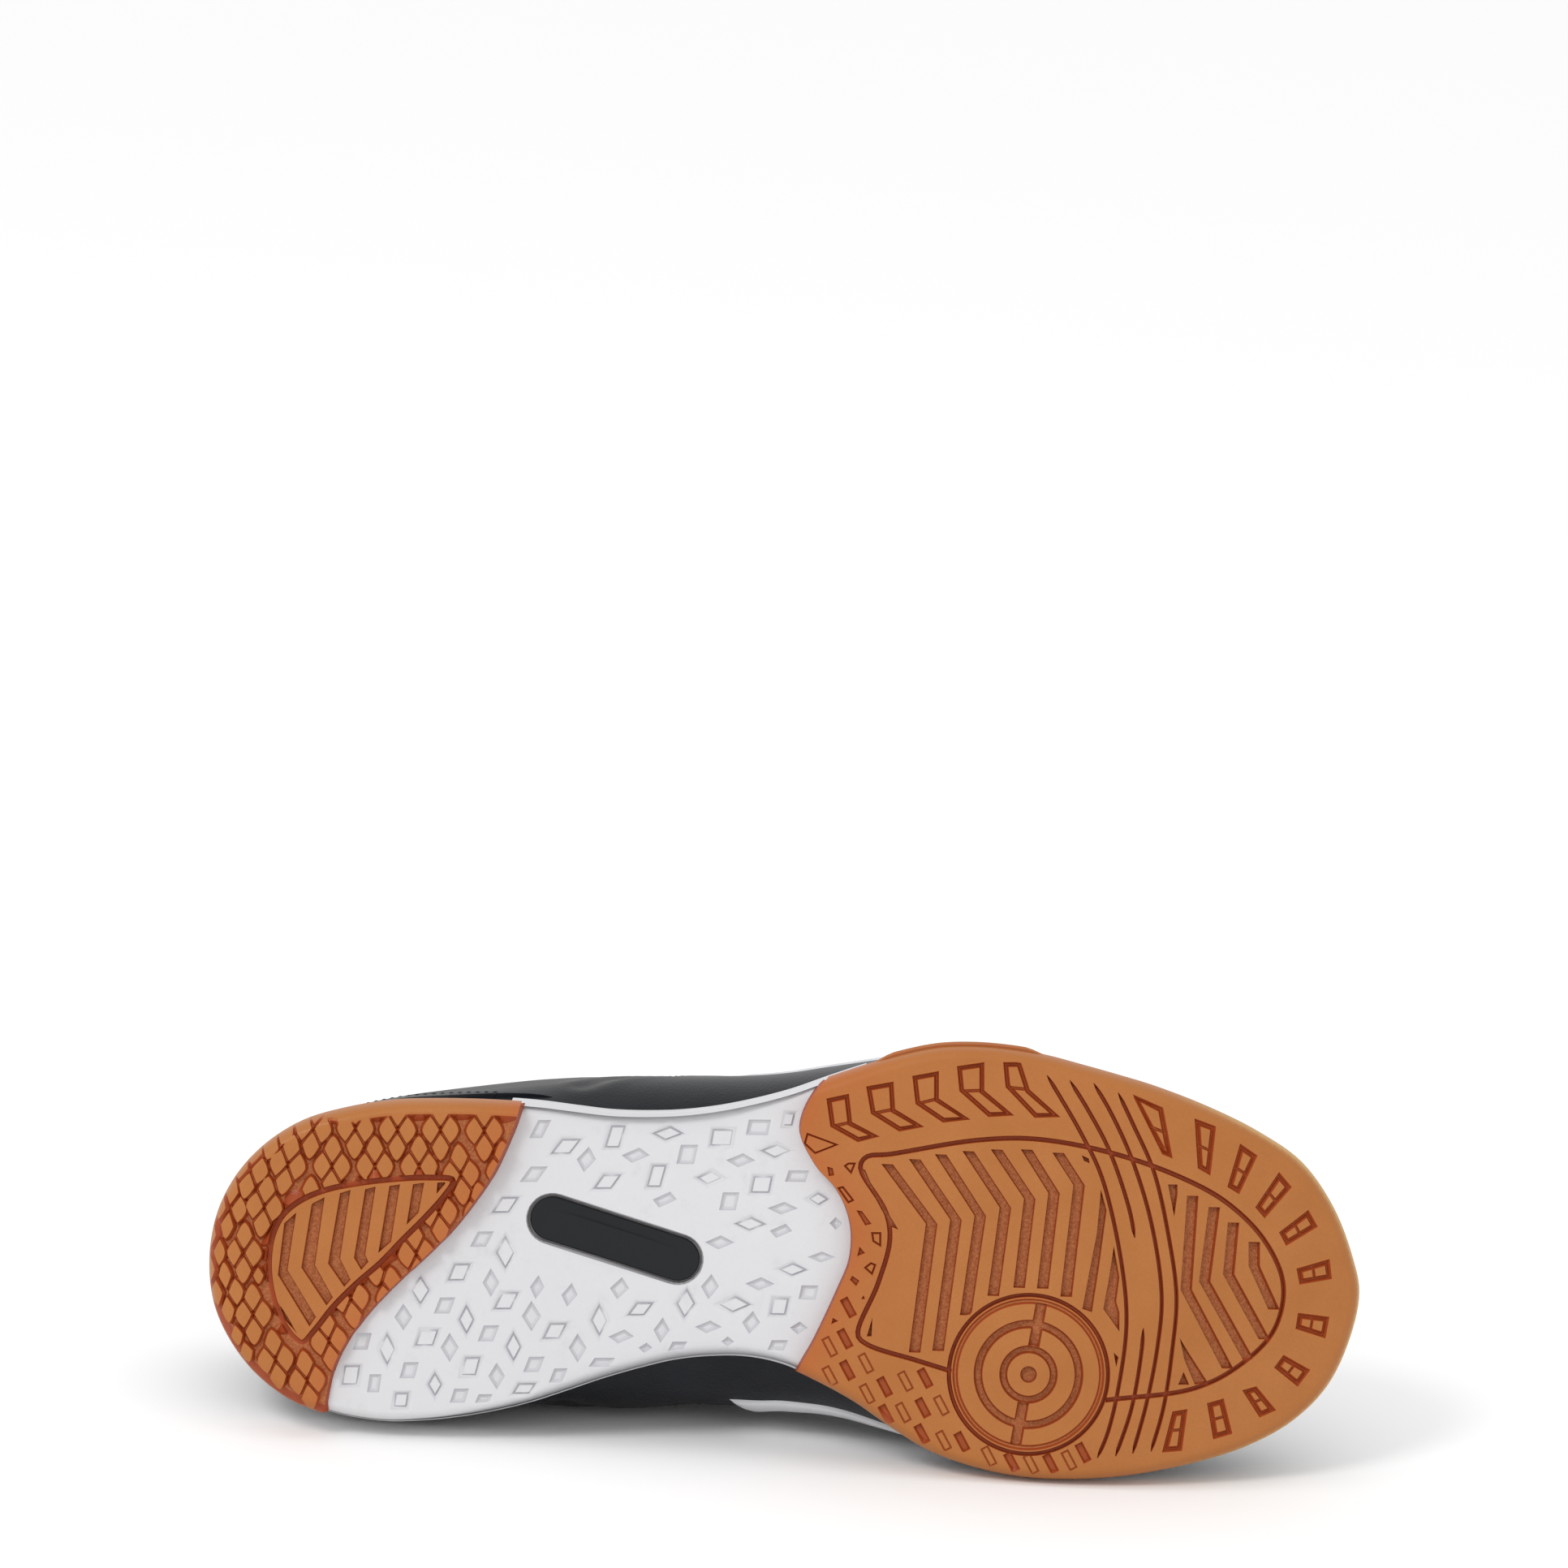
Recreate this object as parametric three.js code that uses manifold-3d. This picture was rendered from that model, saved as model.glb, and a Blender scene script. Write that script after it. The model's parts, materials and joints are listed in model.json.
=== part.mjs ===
// Indoor soccer shoe, right foot, lying on its medial side.
// Shoe frame, in millimetres: x from heel to toe, y to the medial side, z up from the tread.
import * as THREE from 'three';
import { mergeVertices } from 'three/addons/utils/BufferGeometryUtils.js';
import { ConvexHull } from 'three/addons/math/ConvexHull.js';
import Module from 'manifold-3d';

const wasm = await Module();
wasm.setup();

// Main sizes
const soleLength = 289;
const treadLength = 286;
const treadShift = 0.8;
const ballWidth = 106;
const instepHeight = 98;
const heelHeight = 76;
const ankleHeight = 57;
const collarCurve = 1.7;
const toeSpring = 14;
const springStart = 206;
const heelBevel = 3;
const heelBevelLength = 13;
const archHeight = 8;
const heelStack = 22;

// Sole
const gumThickness = 3.6;
const gumWall = 2;
const gumHeelSide = 9;
const gumBallSide = 8;
const toeBumper = 5;
const wallFlare = 2.2;
const treadBevel = 1.2;
const grooveDepth = 1.5;
const grooveWidth = 1.2;
const chevronWidth = 2.5;
const heelGroove = 1.5;
const lugPitch = 10.7;
const lugRow = 9.7;
const ringRadii = [6.3, 12.6, 18.4];
const ringGroove = 2;
const hubRadius = 2;
const fieldRing = 19.9;
const gap = 0.3;

// Wing at the lateral ball
const wingStart = 158;
const wingEnd = 214;
const wingHeight = 12;
const wingThickness = 1.2;
const wingProud = 0.4;
const wingLean = 0.07;
const wingRoot = 3;
const wingRibs = 5;
const wingRibRise = 0.5;

// Inlay under the waist
const inlayLength = 44;
const inlayWidth = 11;
const inlayThickness = 2;
const inlayRecess = 0.8;
const inlayX = 101.5;
const inlayY = -7;
const inlaySlant = 0.28;

// Upper
const upperWall = 2;
const collarPad = 5;
const upperInset = 2.2;
const bulgeShare = 0.26;
const heelCentre = 45;
const toeCentre = 235;
const fanPull = 0.25;
const throatTop = 119;
const throatEnd = 180;
const throatTopHalf = 15;
const throatEndHalf = 8;
const ridgeShift = 3;

// Overlays, tongue, footbed and lace
const panelThickness = 1.1;
const panelGap = 0.8;
const counterFront = 84;
const counterHeight = 0.55;
const counterLow = 0.1;
const eyestayWidth = 17;
const eyeletPairs = 6;
const eyeletRadius = 2.1;
const eyeletMargin = 6;
const tongueThickness = 4.5;
const tongueRise = 22;
const tongueSpread = 9;
const tongueEnd = 12;
const tongueClearance = 2;
const tongueTaper = 0.16;
const tongueBend = 14;
const insoleBulge = 0.8;
const insoleBulgeHeight = 0.6;
const insoleThickness = 3;
const insoleMargin = 4.5;
const bandStart = 131;
const bandEnd = 186;
const bandSlant = 13;
const bandShare = 0.16;
const bandDip = 0.05;
const bandLowMedial = 0.2;
const bandLowLateral = 0.42;
const laceWidth = 5.4;
const laceOver = 0.4;
const laceTuck = 0.4;
const laceArch = 0.5;
const laceThickness = 1.4;
const laceLift = 1.1;

// Plan outline and swell of the upper; widths are shares of the ball width.
const planColumns = ['along', 'soleOut', 'soleIn', 'swellOut', 'swellIn'];
const planRows = [
  [0.000, -0.020, 0.020, -0.014, -0.014],
  [0.006, 0.100, 0.124, -0.014, -0.014],
  [0.017, 0.168, 0.187, -0.012, -0.012],
  [0.037, 0.240, 0.260, -0.010, -0.020],
  [0.072, 0.314, 0.336, -0.006, -0.034],
  [0.141, 0.371, 0.387, 0.004, -0.044],
  [0.211, 0.385, 0.378, 0.016, -0.026],
  [0.280, 0.382, 0.336, 0.036, 0.022],
  [0.349, 0.367, 0.267, 0.063, 0.100],
  [0.418, 0.378, 0.214, 0.060, 0.132],
  [0.488, 0.423, 0.211, 0.030, 0.136],
  [0.557, 0.494, 0.289, -0.005, 0.064],
  [0.626, 0.548, 0.403, -0.030, -0.012],
  [0.695, 0.547, 0.456, -0.030, -0.046],
  [0.765, 0.507, 0.461, -0.028, -0.048],
  [0.834, 0.454, 0.434, -0.026, -0.038],
  [0.903, 0.374, 0.378, -0.026, -0.030],
  [0.944, 0.302, 0.316, -0.024, -0.024],
  [0.972, 0.205, 0.240, -0.024, -0.024],
  [0.989, 0.105, 0.150, -0.024, -0.024],
  [1.000, -0.007, 0.007, -0.024, -0.024],
];

// Heights along the foot: sole top as a share of the heel stack, ridge of the last as a share
// of the instep height, roundness of the section, arch as a share of the arch height.
const riseColumns = ['along', 'soleTop', 'ridge', 'round', 'arch'];
const riseRows = [
  [0.00, 1.00, 0.97, 1.15, 0.45],
  [0.13, 0.94, 0.97, 1.15, 0.45],
  [0.26, 0.86, 0.94, 1.10, 0.75],
  [0.35, 0.77, 0.97, 1.05, 1.00],
  [0.42, 0.69, 1.00, 1.00, 1.00],
  [0.49, 0.61, 0.91, 0.95, 0.80],
  [0.56, 0.55, 0.80, 0.95, 0.50],
  [0.63, 0.51, 0.69, 1.00, 0.45],
  [0.70, 0.50, 0.60, 1.05, 0.45],
  [0.77, 0.51, 0.545, 1.10, 0.45],
  [0.84, 0.58, 0.505, 1.15, 0.45],
  [0.92, 0.76, 0.475, 1.15, 0.45],
  [1.00, 1.04, 0.47, 1.15, 0.45],
];

// Top line of the collar from the heel to the throat: shares of the throat's place and of the
// climb from ankle height (0) to heel height (1).
const collarColumns = ['toThroat', 'climb'];
const collarRows = [
  [0.00, 1.00],
  [0.08, 0.96],
  [0.25, 0.66],
  [0.42, 0.26],
  [0.58, 0.03],
  [0.68, 0.00],
];

function clamp(value, low, high) {
  return Math.min(high, Math.max(low, value));
}

function smooth(value) {
  const t = clamp(value, 0, 1);
  return t * t * (3 - 2 * t);
}

// A reader of y at x along a dense line whose x grows.
function lineReader(dense) {
  const steps = dense.length - 1;
  return (x) => {
    if (x <= dense[0].x) return dense[0].y;
    if (x >= dense[steps].x) return dense[steps].y;
    let low = 0;
    let high = steps;
    while (high - low > 1) {
      const middle = (low + high) >> 1;
      if (dense[middle].x <= x) low = middle;
      else high = middle;
    }
    const a = dense[low];
    const b = dense[high];
    return a.y + (b.y - a.y) * (x - a.x) / (b.x - a.x);
  };
}

const curveDetail = 24;

// A smooth reader of one named column, by centripetal spline through the rows.
function column(columns, rows, name) {
  const index = columns.indexOf(name);
  const curve = new THREE.CatmullRomCurve3(
    rows.map((row) => new THREE.Vector3(row[0], row[index], 0)), false, 'centripetal');
  return lineReader(curve.getPoints(rows.length * curveDetail));
}

// Readers of the sole's lateral and medial edge, from one closed curve round the plan rows.
function planSides() {
  const out = planColumns.indexOf('soleOut');
  const into = planColumns.indexOf('soleIn');
  const lateral = planRows.map((row) => new THREE.Vector3(soleLength * row[0], -ballWidth * row[out], 0));
  const medial = planRows.map((row) => new THREE.Vector3(soleLength * row[0], ballWidth * row[into], 0));
  const loop = [...lateral, ...medial.slice(1, -1).reverse()];
  const curve = new THREE.CatmullRomCurve3(loop, true, 'centripetal');
  const dense = curve.getPoints(loop.length * curveDetail);
  const turn = (planRows.length - 1) * curveDetail;
  return [lineReader(dense.slice(0, turn + 1)), lineReader(dense.slice(turn).reverse())];
}

const [lateralEdge, medialEdge] = planSides();
const swellOut = column(planColumns, planRows, 'swellOut');
const swellIn = column(planColumns, planRows, 'swellIn');
const soleTopShare = column(riseColumns, riseRows, 'soleTop');
const ridgeShare = column(riseColumns, riseRows, 'ridge');
const roundShare = column(riseColumns, riseRows, 'round');
const archShare = column(riseColumns, riseRows, 'arch');
const collarClimb = column(collarColumns, collarRows, 'climb');

function springAt(x) {
  const toe = clamp((x - springStart) / (soleLength - springStart), 0, 1);
  const heel = clamp((heelBevelLength - x) / heelBevelLength, 0, 1);
  return toeSpring * Math.pow(toe, 1.9) + heelBevel * heel * heel;
}

function soleTopAt(x) {
  return heelStack * soleTopShare(x / soleLength);
}

function waistAt(x) {
  return springAt(x) + archHeight * archShare(x / soleLength);
}

function ridgeAt(x) {
  return instepHeight * ridgeShare(x / soleLength);
}

function ridgeY(x) {
  return ridgeShift * x / soleLength;
}

// Stations along the foot, closer together round the heel, the toe and the throat's end.
function stations() {
  const ends = 6;
  const middle = 21;
  const list = [];
  for (let i = 0; i < ends; i++) list.push(heelCentre * (1 - Math.cos(Math.PI / 2 * i / ends)));
  for (let i = 0; i < middle; i++) list.push(heelCentre + (toeCentre - heelCentre) * i / middle);
  for (let i = ends; i >= 0; i--) {
    list.push(soleLength - (soleLength - toeCentre) * (1 - Math.cos(Math.PI / 2 * i / ends)));
  }
  return list;
}

// Closed outline of the sole: heel tip, lateral side, toe tip, medial side.
function outline() {
  const xs = stations();
  const last = xs.length - 1;
  const points = [];
  for (let i = 0; i <= last; i++) {
    points.push(new THREE.Vector2(xs[i], lateralEdge(xs[i])));
  }
  for (let i = last - 1; i >= 1; i--) points.push(new THREE.Vector2(xs[i], medialEdge(xs[i])));
  return points;
}

function outwardNormals(points) {
  const count = points.length;
  return points.map((point, i) => {
    const before = points[(i + count - 1) % count];
    const after = points[(i + 1) % count];
    const along = after.clone().sub(before).normalize();
    return new THREE.Vector2(along.y, -along.x);
  });
}

const soleOutline = outline();
const soleNormals = outwardNormals(soleOutline);
const ribCount = soleOutline.length;
const toeRib = ribCount / 2;

function inset(distance) {
  return soleOutline.map((point, i) => point.clone().addScaledVector(soleNormals[i], -distance));
}

function meshGeometry(positions, triangles) {
  const geometry = new THREE.BufferGeometry();
  geometry.setAttribute('position', new THREE.Float32BufferAttribute(positions, 3));
  geometry.setIndex(triangles);
  const welded = mergeVertices(geometry, 1e-4);
  const index = Array.from(welded.index.array);
  const kept = [];
  for (let i = 0; i < index.length; i += 3) {
    const [a, b, c] = index.slice(i, i + 3);
    if (a !== b && b !== c && c !== a) kept.push(a, b, c);
  }
  welded.setIndex(kept);
  return welded;
}

function toManifold(geometry) {
  const plain = geometry.clone();
  plain.deleteAttribute('normal');
  plain.deleteAttribute('uv');
  const welded = mergeVertices(plain, 1e-4);
  return new wasm.Manifold(new wasm.Mesh({
    numProp: 3,
    vertProperties: new Float32Array(welded.attributes.position.array),
    triVerts: new Uint32Array(welded.index.array),
  }));
}

function fromManifold(solid) {
  const mesh = solid.getMesh();
  const geometry = new THREE.BufferGeometry();
  geometry.setAttribute('position', new THREE.Float32BufferAttribute(Array.from(mesh.vertProperties), 3));
  geometry.setIndex(Array.from(mesh.triVerts));
  return geometry;
}

// A solid stacked from insets of the sole outline. Each ring has an inset and a height function.
function stack(rings) {
  const positions = [];
  const triangles = [];
  for (const ring of rings) {
    for (const point of inset(ring.inset)) positions.push(point.x, point.y, ring.height(point.x, point.y));
  }
  for (let r = 0; r + 1 < rings.length; r++) {
    for (let i = 0; i < ribCount; i++) {
      const j = (i + 1) % ribCount;
      const a = r * ribCount + i;
      const b = r * ribCount + j;
      triangles.push(a, b, b + ribCount, a, b + ribCount, a + ribCount);
    }
  }
  const top = (rings.length - 1) * ribCount;
  for (let i = 0; i < toeRib; i++) {
    const a = i;
    const b = i + 1;
    const c = (ribCount - i - 1) % ribCount;
    const d = (ribCount - i) % ribCount;
    triangles.push(a, c, b, a, d, c);
    triangles.push(top + a, top + b, top + c, top + a, top + c, top + d);
  }
  return toManifold(meshGeometry(positions, triangles));
}

function prism(points, low, high) {
  const shape = new THREE.Shape(points);
  const geometry = new THREE.ExtrudeGeometry(shape, { depth: high - low, bevelEnabled: false });
  geometry.translate(0, 0, low);
  return toManifold(geometry);
}

const farBelow = -30;
const farAbove = 60;
const slabMargin = 5;

function union(solids) {
  return wasm.Manifold.union(solids);
}

function share(x, y) {
  return new THREE.Vector2(treadShift + x * treadLength, y * ballWidth);
}

// Flat list of shares to points.
function sharePoints(row) {
  const points = [];
  for (let i = 0; i < row.length; i += 2) points.push(share(row[i], row[i + 1]));
  return points;
}

function curvePoints(points, closed, count) {
  const curve = new THREE.CatmullRomCurve3(
    points.map((point) => new THREE.Vector3(point.x, point.y, 0)), closed, 'centripetal');
  const list = curve.getSpacedPoints(count).map((point) => new THREE.Vector2(point.x, point.y));
  if (closed) list.pop();
  return list;
}

// A band of one width along a line of points; level ends are cut parallel to x.
function band(points, width, closed = false) {
  const count = points.length;
  const left = [];
  const right = [];
  for (let i = 0; i < count; i++) {
    const before = closed ? points[(i + count - 1) % count] : points[Math.max(0, i - 1)];
    const after = closed ? points[(i + 1) % count] : points[Math.min(count - 1, i + 1)];
    const a = points[i].clone().sub(before).normalize();
    const b = after.clone().sub(points[i]).normalize();
    const along = a.add(b).normalize();
    const side = new THREE.Vector2(-along.y, along.x).multiplyScalar(width / 2);
    left.push(points[i].clone().add(side));
    right.push(points[i].clone().sub(side));
  }
  if (!closed) return prism([...left, ...right.reverse()], farBelow, farAbove);
  return prism(left, farBelow, farAbove).subtract(prism(right, farBelow, farAbove));
}

// A chevron bar of one width measured along x, through its top, elbow and bottom.
function chevron(row, width) {
  const half = width / 2;
  const line = sharePoints(row);
  const left = line.map((point) => new THREE.Vector2(point.x - half, point.y));
  const right = line.map((point) => new THREE.Vector2(point.x + half, point.y));
  return prism([...left, ...right.reverse()], farBelow, farAbove);
}

function disc(x, y, radius, sides) {
  const points = [];
  for (let i = 0; i < sides; i++) {
    const angle = 2 * Math.PI * i / sides;
    points.push(new THREE.Vector2(x + radius * Math.cos(angle), y + radius * Math.sin(angle)));
  }
  return prism(points, farBelow, farAbove);
}

function ring(x, y, radius, width, sides) {
  return disc(x, y, radius + width / 2, sides).subtract(disc(x, y, radius - width / 2, sides));
}

// Forefoot tread
const foreEdgeRow = [
  0.575, -0.62, 0.560, -0.505, 0.535, -0.470, 0.520, -0.423, 0.512, -0.369, 0.512, -0.330, 0.527, -0.256,
  0.544, -0.208, 0.554, -0.159, 0.559, -0.106, 0.558, -0.039, 0.549, 0.028, 0.529, 0.154, 0.518, 0.211,
  0.500, 0.330, 0.490, 0.620,
];
const heelEdgeRow = [
  0.268, -0.520, 0.267, -0.399, 0.262, -0.336, 0.254, -0.278, 0.243, -0.210, 0.226, -0.138, 0.210, -0.079,
  0.186, -0.010, 0.158, 0.065, 0.138, 0.128, 0.121, 0.193, 0.110, 0.260, 0.104, 0.347, 0.098, 0.480,
];
const fieldLine = [
  0.785, 0.268, 0.862, 0.236, 0.901, 0.181, 0.931, 0.096, 0.938, -0.012, 0.920, -0.116, 0.885, -0.205,
  0.841, -0.265, 0.779, -0.317, 0.715, -0.342, 0.664, -0.334, 0.589, -0.294, 0.569, -0.286, 0.564, -0.262,
  0.588, -0.156, 0.592, -0.091, 0.583, 0.012, 0.567, 0.134, 0.575, 0.155, 0.619, 0.189, 0.650, 0.212,
];
const flexLines = [
  [0.722, -0.500, 0.734, -0.451, 0.756, -0.356, 0.775, -0.256, 0.795, -0.052, 0.801, 0.088, 0.796, 0.237,
    0.788, 0.345, 0.779, 0.410],
  [0.742, -0.490, 0.761, -0.413, 0.781, -0.318, 0.800, -0.182, 0.806, -0.111],
  [0.816, 0.087, 0.815, 0.153, 0.808, 0.287, 0.795, 0.405],
  [0.763, -0.485, 0.780, -0.413, 0.801, -0.299, 0.820, -0.148, 0.831, 0.020, 0.829, 0.137, 0.821, 0.274,
    0.810, 0.398],
  [0.785, -0.465, 0.801, -0.381, 0.820, -0.275, 0.835, -0.124, 0.844, 0.020, 0.842, 0.145, 0.836, 0.284,
    0.826, 0.392],
];
const backChevrons = [
  [0.587, -0.271, 0.628, -0.134, 0.617, 0.160],
  [0.611, -0.284, 0.649, -0.145, 0.637, 0.165],
  [0.634, -0.298, 0.670, -0.157, 0.660, 0.079],
  [0.658, -0.308, 0.692, -0.178, 0.684, 0.031],
  [0.682, -0.314, 0.713, -0.201, 0.706, 0.010],
  [0.708, -0.317, 0.734, -0.216, 0.727, 0.010],
  [0.736, -0.305, 0.755, -0.237, 0.747, 0.027],
  [0.773, -0.200, 0.774, -0.160, 0.765, 0.061],
  [0.787, -0.070, 0.784, 0.048, 0.788, 0.100],
];
const toeChevrons = [
  [0.855, -0.215, 0.852, 0.000, 0.891, 0.175],
  [0.874, -0.190, 0.868, -0.021, 0.910, 0.150],
  [0.892, -0.155, 0.889, -0.040, 0.923, 0.105],
  [0.911, -0.115, 0.912, -0.061, 0.928, 0.035],
  [0.852, 0.110, 0.861, 0.152, 0.871, 0.200],
];
const edgeBoxes = [
  [0.798, -0.457, 0.826, -0.427, 0.836, -0.308, 0.827, -0.316],
  [0.854, -0.405, 0.873, -0.387, 0.870, -0.271, 0.858, -0.287],
  [0.895, -0.349, 0.911, -0.322, 0.896, -0.229, 0.885, -0.245],
  [0.931, -0.286, 0.942, -0.251, 0.919, -0.174, 0.910, -0.200],
  [0.958, -0.199, 0.967, -0.160, 0.939, -0.111, 0.932, -0.143],
  [0.978, -0.085, 0.981, -0.037, 0.952, -0.021, 0.949, -0.059],
  [0.980, 0.053, 0.977, 0.104, 0.950, 0.084, 0.952, 0.046],
  [0.965, 0.180, 0.954, 0.221, 0.932, 0.177, 0.940, 0.146],
  [0.936, 0.278, 0.921, 0.296, 0.905, 0.233, 0.917, 0.222],
  [0.898, 0.337, 0.881, 0.352, 0.874, 0.267, 0.889, 0.254],
  [0.854, 0.381, 0.836, 0.386, 0.844, 0.288, 0.857, 0.282],
];
const bentBoxes = [
  [0.532, -0.420, 0.552, -0.433, 0.556, -0.367, 0.580, -0.335, 0.561, -0.320, 0.537, -0.354],
  [0.567, -0.452, 0.590, -0.466, 0.593, -0.401, 0.619, -0.361, 0.597, -0.348, 0.572, -0.388],
  [0.607, -0.480, 0.630, -0.494, 0.630, -0.429, 0.659, -0.382, 0.635, -0.373, 0.610, -0.414],
  [0.645, -0.507, 0.669, -0.519, 0.670, -0.452, 0.697, -0.396, 0.674, -0.390, 0.648, -0.448],
  [0.685, -0.520, 0.701, -0.522, 0.709, -0.458, 0.737, -0.396, 0.714, -0.391, 0.688, -0.461],
];
const pivot = share(0.717, 0.213);
const pivotLean = 0.147;

function shrinkPolygon(points, distance) {
  const middle = points.reduce((sum, point) => sum.add(point), new THREE.Vector2());
  middle.divideScalar(points.length);
  return points.map((point) => {
    const arm = point.clone().sub(middle);
    const reach = arm.length();
    return middle.clone().addScaledVector(arm, Math.max(0.3, (reach - distance) / reach));
  });
}

// An outlined box: a groove round a raised middle.
function boxGroove(row) {
  const outer = sharePoints(row);
  const inner = shrinkPolygon(outer, 1.6 * grooveWidth);
  return prism(outer, farBelow, farAbove).subtract(prism(inner, farBelow, farAbove));
}

function pivotRings() {
  const parts = [disc(pivot.x, pivot.y, hubRadius, 10), ring(pivot.x, pivot.y, fieldRing, grooveWidth, 26)];
  ringRadii.forEach((radius, i) => parts.push(ring(pivot.x, pivot.y, radius, ringGroove, 12 + 5 * i)));
  for (const side of [-1, 1]) {
    const near = side * ringRadii[0];
    const far = side * ringRadii[2];
    parts.push(band([
      new THREE.Vector2(pivot.x - pivotLean * near, pivot.y + near),
      new THREE.Vector2(pivot.x - pivotLean * far, pivot.y + far),
    ], ringGroove + 0.8));
  }
  return parts;
}

function forefootGrooves() {
  const round = disc(pivot.x, pivot.y, fieldRing, 26);
  const parts = [
    ...backChevrons.map((row) => chevron(row, chevronWidth).subtract(round)),
    ...toeChevrons.map((row) => chevron(row, chevronWidth)),
    ...flexLines.map((row) => band(curvePoints(sharePoints(row), false, 7), grooveWidth)),
    ...edgeBoxes.map(boxGroove),
    ...bentBoxes.map(boxGroove),
    ...pivotRings(),
    band(curvePoints(sharePoints(fieldLine), false, 28), grooveWidth),
  ];
  return union(parts);
}

// Heel tread
const leafRow = [
  0.211, -0.205, 0.158, -0.202, 0.100, -0.171, 0.061, -0.109, 0.049, -0.010, 0.055, 0.104, 0.084, 0.206,
  0.111, 0.115, 0.151, 0.009, 0.189, -0.106, 0.214, -0.190,
];
const heelChevrons = [
  [0.070, -0.100, 0.064, 0.032, 0.090, 0.144],
  [0.093, -0.140, 0.086, 0.015, 0.103, 0.099],
  [0.116, -0.158, 0.109, 0.001, 0.119, 0.056],
  [0.138, -0.171, 0.130, -0.007, 0.133, 0.014],
  [0.158, -0.179, 0.155, -0.102, 0.152, -0.028],
  [0.179, -0.183, 0.176, -0.137, 0.173, -0.093],
];
const firstLugDepth = 7.6;

// The edge that the lug rows follow: lateral side towards the heel, then round to the medial side.
function lugPath() {
  const start = Math.round(ribCount * 0.16);
  const points = [];
  for (let i = start; i >= -start; i--) points.push(soleOutline[(i + ribCount) % ribCount]);
  return curvePoints(points, false, 120);
}

function lugPoint(path, along, depth) {
  const spacing = path[0].distanceTo(path[1]);
  const place = clamp(along / spacing, 0, path.length - 2);
  const low = Math.floor(place);
  const point = path[low].clone().lerp(path[low + 1], place - low);
  const a = path[Math.max(0, low - 6)];
  const b = path[Math.min(path.length - 1, low + 7)];
  const line = b.clone().sub(a).normalize();
  return point.addScaledVector(new THREE.Vector2(line.y, -line.x), -depth);
}

// Rhombic lugs in staggered rows that follow the heel's edge.
function heelLugs(height) {
  const path = lugPath();
  const length = path[0].distanceTo(path[1]) * (path.length - 1);
  const count = Math.floor(length / lugPitch);
  const wide = lugPitch / 2 - heelGroove * 0.62;
  const tall = lugRow - heelGroove * 1.1;
  const lugs = [];
  for (let row = -1; row < 2; row++) {
    for (let i = 0; i <= count; i++) {
      const along = (i + (row % 2 === 0 ? 0.5 : 0)) * lugPitch;
      const depth = firstLugDepth + row * lugRow;
      lugs.push(prism([
        lugPoint(path, along - wide, depth), lugPoint(path, along, depth - tall),
        lugPoint(path, along + wide, depth), lugPoint(path, along, depth + tall),
      ].reverse(), farBelow, height));
    }
  }
  return union(lugs);
}

function heelGrooves() {
  const leaf = curvePoints(sharePoints(leafRow), true, 30);
  const leafSolid = prism(leaf, farBelow, farAbove);
  const rim = stack([
    { inset: 4.2, height: () => farBelow },
    { inset: 4.2, height: () => farAbove },
  ]);
  const middle = rim.subtract(leafSolid).subtract(heelLugs(farAbove));
  return union([middle, band(leaf, grooveWidth, true), ...heelChevrons.map((row) => chevron(row, 2.9))]);
}

// Sole solids
function gumTopAt(x) {
  const t = x / soleLength;
  const side = gumHeelSide + (gumBallSide - gumHeelSide) * smooth((t - 0.3) / 0.3);
  return Math.min(soleTopAt(x) - 2, springAt(x) + side + toeBumper * smooth((t - 0.86) / 0.1));
}

function zoneBox(row, toToe, grow) {
  const line = curvePoints(sharePoints(row), false, 24);
  const shifted = line.map((point) => new THREE.Vector2(point.x + grow, point.y));
  const far = toToe ? soleLength + 20 : -20;
  const end = [new THREE.Vector2(far, shifted[shifted.length - 1].y), new THREE.Vector2(far, shifted[0].y)];
  const points = [...shifted, ...end];
  if (THREE.ShapeUtils.isClockWise(points)) points.reverse();
  return prism(points, farBelow, farAbove);
}

function gumBody(extra) {
  return stack([
    { inset: wallFlare + treadBevel - extra, height: (x) => springAt(x) - extra },
    { inset: wallFlare - extra, height: (x) => springAt(x) + treadBevel - extra / 2 },
    { inset: -extra, height: (x) => gumTopAt(x) + extra },
  ]);
}

function gumCore(tight) {
  const wall = gumWall + tight;
  return stack([
    { inset: wall + wallFlare, height: (x) => springAt(x) + gumThickness + tight },
    { inset: wall, height: (x) => soleTopAt(x) + 5 },
  ]);
}

function grooveSlab() {
  return stack([
    { inset: -slabMargin, height: (x) => springAt(x) - slabMargin },
    { inset: -slabMargin, height: (x) => springAt(x) + grooveDepth },
  ]);
}

// Surface of the upper
function ribCentre(i) {
  const x = soleOutline[i].x;
  let centre = x;
  if (x < heelCentre) centre = heelCentre + (x - heelCentre) * fanPull;
  if (x > toeCentre) centre = toeCentre + (x - toeCentre) * fanPull;
  return new THREE.Vector3(centre, ridgeY(centre), ridgeAt(centre));
}

function rib(i) {
  const edge = soleOutline[i];
  const side = soleNormals[i];
  const t = edge.x / soleLength;
  const swell = ballWidth * (i > toeRib ? swellIn(t) : swellOut(t));
  const foot = edge.clone().addScaledVector(side, -upperInset);
  const wide = edge.clone().addScaledVector(side, swell);
  const centre = ribCentre(i);
  const low = soleTopAt(edge.x) + gap;
  return { foot, wide, centre, low, middle: low + bulgeShare * (centre.z - low), t };
}

const ribs = soleOutline.map((point, i) => rib(i));
const swellEnd = 0.3;

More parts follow.
